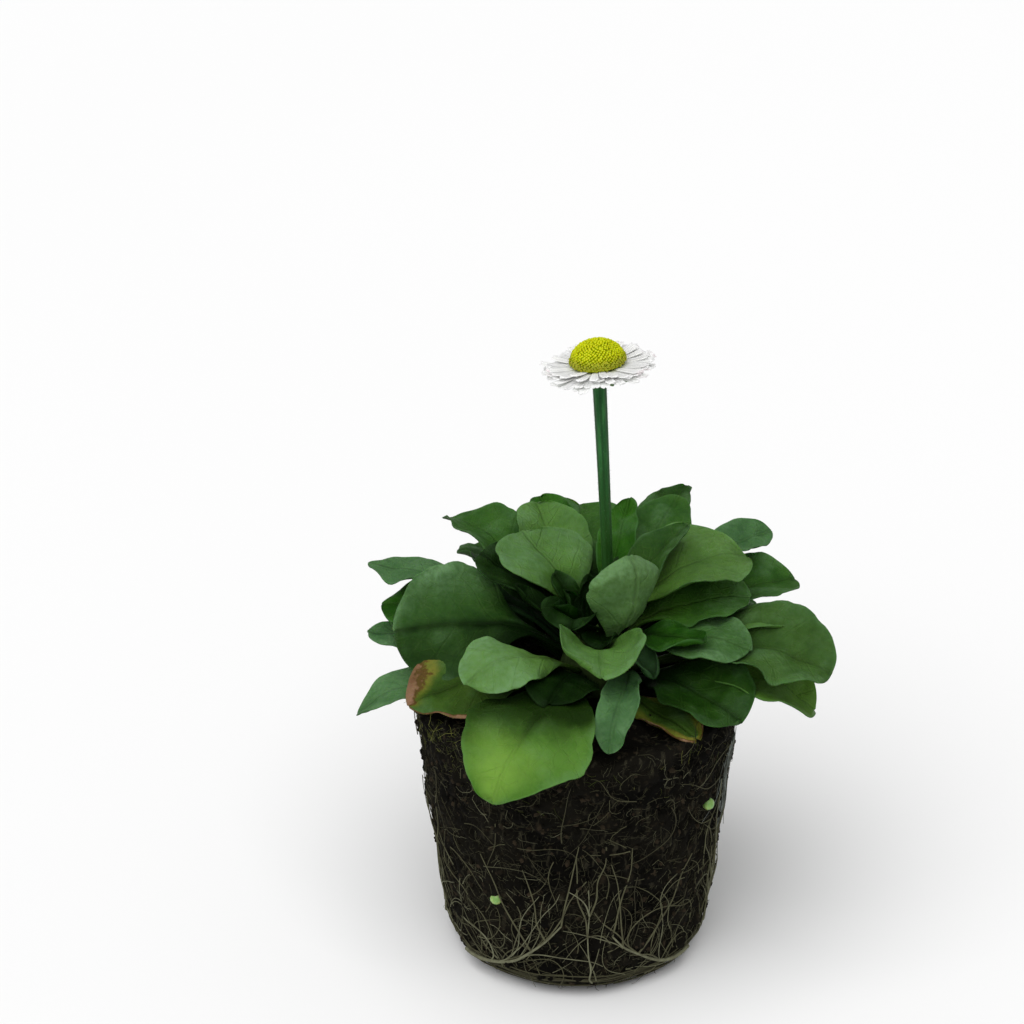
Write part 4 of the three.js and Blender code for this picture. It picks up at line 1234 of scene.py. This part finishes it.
bract_rows = []
for s in np.linspace(0, 1, BRACT_STEPS):
    half = BRACT_WIDTH / 2 * math.sqrt(max(0.01, 1 - max(0, (s - 0.3) / 0.71) ** 2))
    row = []
    for v in np.linspace(-1, 1, BRACT_ACROSS):
        up = -2.9 + 0.4 * s + 0.25 * v * v - 0.1 * (1 - abs(v))
        row.append((BRACT_START + BRACT_LENGTH * s, half * v, up))
    bract_rows.append(row)
seed_point = make_object("seed_point", [(0, 0, 0)])
bract_lobes = grow_copies(
    "bract_lobes",
    seed_point,
    around_head,
    [strap("bract_shape", bract_rows, BRACT_THICKNESS)],
    Count=BRACT_COUNT,
    First=math.pi / BRACT_COUNT,
    Spread=0.1,
    Lift=0.0,
    Stagger=0.05,
    Seed=20,
    Material=bract_skin,
)
cup_faces = skin_faces(len(CUP_PROFILE), STEM_SIDES, capped=True)
bract_cup = make_object("bract_cup", turned_points(CUP_PROFILE, STEM_SIDES), cup_faces)
bract_cup.data.materials.append(bract_skin)
for piece in (bract_lobes, bract_cup):
    set_on_head(piece)
    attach(piece, "root")
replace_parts(bract_lobes, "flower_bracts")

# Ray florets: narrow white straps in three layers round the yellow disc. Each is one soft petal
# with two grooves along it and a notched end, faintly pink at the tip, grown on the head's edge.
RAY_START, RAY_BASE_WIDTH, RAY_WIDTH, RAY_THICKNESS, RAY_KINDS = 6.3, 1.4, 2.5, 0.26, 7
RAY_STEPS, RAY_ACROSS = 12, 9

# A layer has its count, its reach, its lift, the lift that its petals gain on the way out, and
# the angle of its first petal.
RAY_LAYERS = ((34, 15.3, -6.0, 2.0, 0.0), (32, 14.9, -2.5, 3.0, 9.5), (28, 13.9, 1.5, 4.0, 4.0))
petal_skin, net = new_finish("petal_skin")
far = net.number("far")
mottle = net.speckle(0.0035, 3.0)
white = net.blend(far.between(0.0, 0.35), (0.82, 0.84, 0.68), (0.95, 0.95, 0.94))
white = net.blend(far.between(0.88, 1.0) * mottle.between(0.52, 0.7) * 0.6, white, (0.72, 0.4, 0.47))
# Painted shade: the grooves along each petal are greyer.
white = net.blend(net.number("groove") * 0.14, white, (0.66, 0.68, 0.6))
net.surface(
    base_color=white,
    roughness=0.6,
    specular_ior_level=0.2,
    subsurface_weight=0.55,
    subsurface_radius=(1.0, 1.0, 0.95),
    subsurface_scale=0.004,
)


def ray_shape(name, reach, lift_gain):
    rows, far, groove = [], [], []
    side_bend = draw.uniform(-0.5, 0.5)
    notch = draw.uniform(0.25, 0.9)
    tooth = draw.uniform(-0.35, 0.35)
    curl = draw.uniform(-0.5, 0.4)
    length = reach - RAY_START
    for s in np.linspace(0, 1, RAY_STEPS):
        half = mix(RAY_BASE_WIDTH, RAY_WIDTH, s**0.7) / 2 * (1 - 0.12 * max(0, (s - 0.85) / 0.15) ** 2)
        rise = math.radians(lift_gain) * s
        row = []
        for v in np.linspace(-1, 1, RAY_ACROSS):
            dip = notch * math.exp(-(((v - tooth) / 0.3) ** 2)) + 0.35 * v**4
            run = length * s - dip * max(0, (s - 0.75) / 0.25) ** 1.5
            ridge = 0.09 * math.cos(v * 3 * math.pi) * min(1, s * 4)
            up = -0.35 + run * math.sin(rise) + 0.3 * v * v * s + ridge + curl * s**3
            row.append((RAY_START + run * math.cos(rise), half * v + side_bend * s * s, up))
            far.append(s)
            # How deep in a groove each point lies, for the painted shade there.
            groove.append(0.5 - 0.5 * math.cos(v * 3 * math.pi))
        rows.append(row)
    return strap(name, rows, RAY_THICKNESS, far=far * 2, groove=groove * 2)


ray_pieces = []
for layer, (count, reach, lift, lift_gain, first_turn) in enumerate(RAY_LAYERS):
    ray_pieces.append(
        grow_copies(
            f"ray_layer_{layer + 1}",
            seed_point,
            around_head,
            [ray_shape(f"ray_{layer}_{k}", reach, lift_gain) for k in range(RAY_KINDS)],
            Count=count,
            First=math.radians(first_turn),
            Spread=0.4,
            Lift=math.radians(lift),
            Stagger=math.radians(6),
            Seed=30 + 10 * layer,
            Material=petal_skin,
        )
    )
for piece in ray_pieces:
    set_on_head(piece)
    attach(piece, "root")
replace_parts(ray_pieces[0], "ray_florets")

# Disc florets: the yellow dome of some six hundred tiny tube flowers. They are packed in spirals,
# closed buds in the middle and open ones at the edge, and grow on the dome of the head.
DISC_RADIUS, DISC_HEIGHT, DISC_BASE, BUD_COUNT, BUD_SIDES, BUD_ROOT = 7.3, 6.3, 0.35, 600, 7, 0.8
GOLDEN_ANGLE, DOME_ROWS = 2.3999632, 12
bud_skin, net = new_finish("bud_skin")
tip = net.number("tip")
yellow = net.blend(net.number("tint"), (0.46, 0.52, 0.002), (0.56, 0.6, 0.004))
yellow = net.blend(net.number("outer").between(0.4, 0.9) * 0.85, yellow, (0.19, 0.215, 0.0015))
yellow = net.blend(tip.between(0.1, 0.75), (0.26, 0.3, 0.002), yellow)
yellow = net.blend(tip.between(0.93, 1.0) * 0.35, yellow, (0.6, 0.6, 0.1))
net.surface(
    base_color=yellow,
    roughness=0.6,
    specular_ior_level=0.02,
    subsurface_weight=0.1,
    subsurface_scale=0.001,
)

spiral, net, given = new_growth(
    "spiral_of_buds",
    Shapes="Collection",
    Count="Int",
    Radius="Float",
    Height="Float",
    Base="Float",
    Seed="Int",
    Material="Material",
)
index = net.node("GeometryNodeInputIndex")["Index"]
fraction = (index + 0.5) / given["Count"]
up_cos = 1 - fraction * 0.98
flat_sin = (1 - up_cos * up_cos) ** 0.5
angle = index * GOLDEN_ANGLE
x = flat_sin * net.math("COSINE", angle) + chance(net, -0.022, 0.022, 71)
y = flat_sin * net.math("SINE", angle) + chance(net, -0.022, 0.022, 72)
spot = net.vector(x * given["Radius"], y * given["Radius"], given["Base"] + up_cos * given["Height"])
facing = net.vector(x / given["Radius"], y / given["Radius"], up_cos / given["Height"])
stand = net.node("FunctionNodeAlignRotationToVector", {"axis": "Z"}, {"Vector": facing})["Rotation"]
jitter = chance(net, 0.0, 1.0, given["Seed"], index)
copies = copies_at(
    net,
    net.node("GeometryNodePoints", {}, {"Count": given["Count"], "Position": spot})["Geometry"],
    given["Shapes"],
    net.math("GREATER_THAN", fraction + (jitter - 0.5) * 0.2, 0.72),
    turned(net, (jitter - 0.5) * 0.25, 0.0, jitter * 40, stand),
    0.68 + 0.2 * jitter,
    tint=jitter,
    outer=fraction,
)
finish_growth(net, copies, given["Material"])


def bud_shape(name, profile, end_rise, end_tip):
    """A bud from its profile, closed by a point that stands over or under its last ring."""
    top = profile[-1][1]
    last = (len(profile) - 1) * BUD_SIDES
    points = turned_points(profile, BUD_SIDES) + [(0, 0, top + end_rise)]
    tip = [max(0.0, (z + BUD_ROOT) / (top + BUD_ROOT)) for _, z in profile for _ in range(BUD_SIDES)]
    faces = skin_faces(len(profile), BUD_SIDES)
    faces += [(last + j, last + (j + 1) % BUD_SIDES, len(points) - 1) for j in range(BUD_SIDES)]
    faces.append(tuple(range(BUD_SIDES - 1, -1, -1)))
    return make_object(name, points, faces, tip=tip + [end_tip])


closed_profile = ((0.3, -0.8), (0.42, -0.35), (0.44, -0.1), (0.33, 0.12), (0.15, 0.22))
open_profile = ((0.2, -0.8), (0.27, -0.3), (0.36, 0.05), (0.42, 0.22), (0.3, 0.26), (0.2, 0.12))
disc_buds = grow_copies(
    "disc_buds",
    seed_point,
    spiral,
    [bud_shape("bud_shape_1", closed_profile, 0.04, 1.0), bud_shape("bud_shape_2", open_profile, -0.1, 0.4)],
    Count=BUD_COUNT,
    Radius=(DISC_RADIUS - 0.3) * MM,
    Height=(DISC_HEIGHT - 0.6) * MM,
    Base=(DISC_BASE + 0.2) * MM,
    Seed=61,
    Material=bud_skin,
)
bpy.data.objects.remove(seed_point)

dome_skin, net = new_finish("dome_skin")
pits = net.speckle(0.0006, 3.0)
dome_colour = net.blend(pits, (0.3, 0.34, 0.002), (0.38, 0.42, 0.004))
net.surface(relief=pits, depth=0.0002, base_color=dome_colour, roughness=0.8, specular_ior_level=0.1)
dome_profile = []
for latitude in np.radians(np.linspace(0, 84, DOME_ROWS)):
    dome_z = DISC_BASE + (DISC_HEIGHT - 0.85) * math.sin(latitude)
    dome_profile.append(((DISC_RADIUS - 0.55) * math.cos(latitude), dome_z))
dome_faces = skin_faces(DOME_ROWS, STEM_SIDES, capped=True)
disc_dome = make_object("disc_dome", turned_points(dome_profile, STEM_SIDES), dome_faces)
disc_dome.data.materials.append(dome_skin)
for piece in (disc_buds, disc_dome):
    set_on_head(piece)
    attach(piece, "root")
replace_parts(disc_buds, "disc_florets")

# Floor, light and camera: a plain pale floor under soft light from above, seen from in front and
# a little above the plant.
FLOOR_HALF = 4000
corners = [(x * FLOOR_HALF, y * FLOOR_HALF, 0) for x, y in ((-1, -1), (1, -1), (1, 1), (-1, 1))]
floor = make_object("floor", corners, [(0, 1, 2, 3)])
pale_floor, net = new_finish("pale_floor")
floor_colour = net.blend(net.speckle(0.4, 1.0), (0.86, 0.86, 0.86), (0.89, 0.89, 0.89))
net.surface(base_color=floor_colour, roughness=0.9, specular_ior_level=0.1)
floor.data.materials.append(pale_floor)

lamp = bpy.data.lights.new("overhead_light", "SUN")
lamp.angle = math.radians(72)
lamp.energy = 2.7
overhead = bpy.data.objects.new("overhead_light", lamp)
overhead.location = (-0.2, -0.5, 1.0)
overhead.rotation_euler = overhead.location.to_track_quat("Z", "Y").to_euler()
bpy.context.scene.collection.objects.link(overhead)

world = bpy.data.worlds.new("studio")
world.use_nodes = True
world.node_tree.nodes.clear()
net = Net(world.node_tree)
sky = net.node("ShaderNodeBackground", {}, {"Color": (1.0, 1.0, 1.0), "Strength": 0.38})["Background"]
net.node("ShaderNodeOutputWorld", {}, {"Surface": sky})
bpy.context.scene.world = world
bpy.context.scene.view_settings.view_transform = "Standard"

eye = bpy.data.cameras.new("camera")
eye.lens = 96.72
eye.sensor_width = 36
eye.clip_end = 20
camera = bpy.data.objects.new("camera", eye)
camera.location = (-0.0174, -0.6441, 0.4192)
camera.rotation_euler = (math.radians(90 - 24.5), 0, 0)
bpy.context.scene.collection.objects.link(camera)
bpy.context.scene.camera = camera
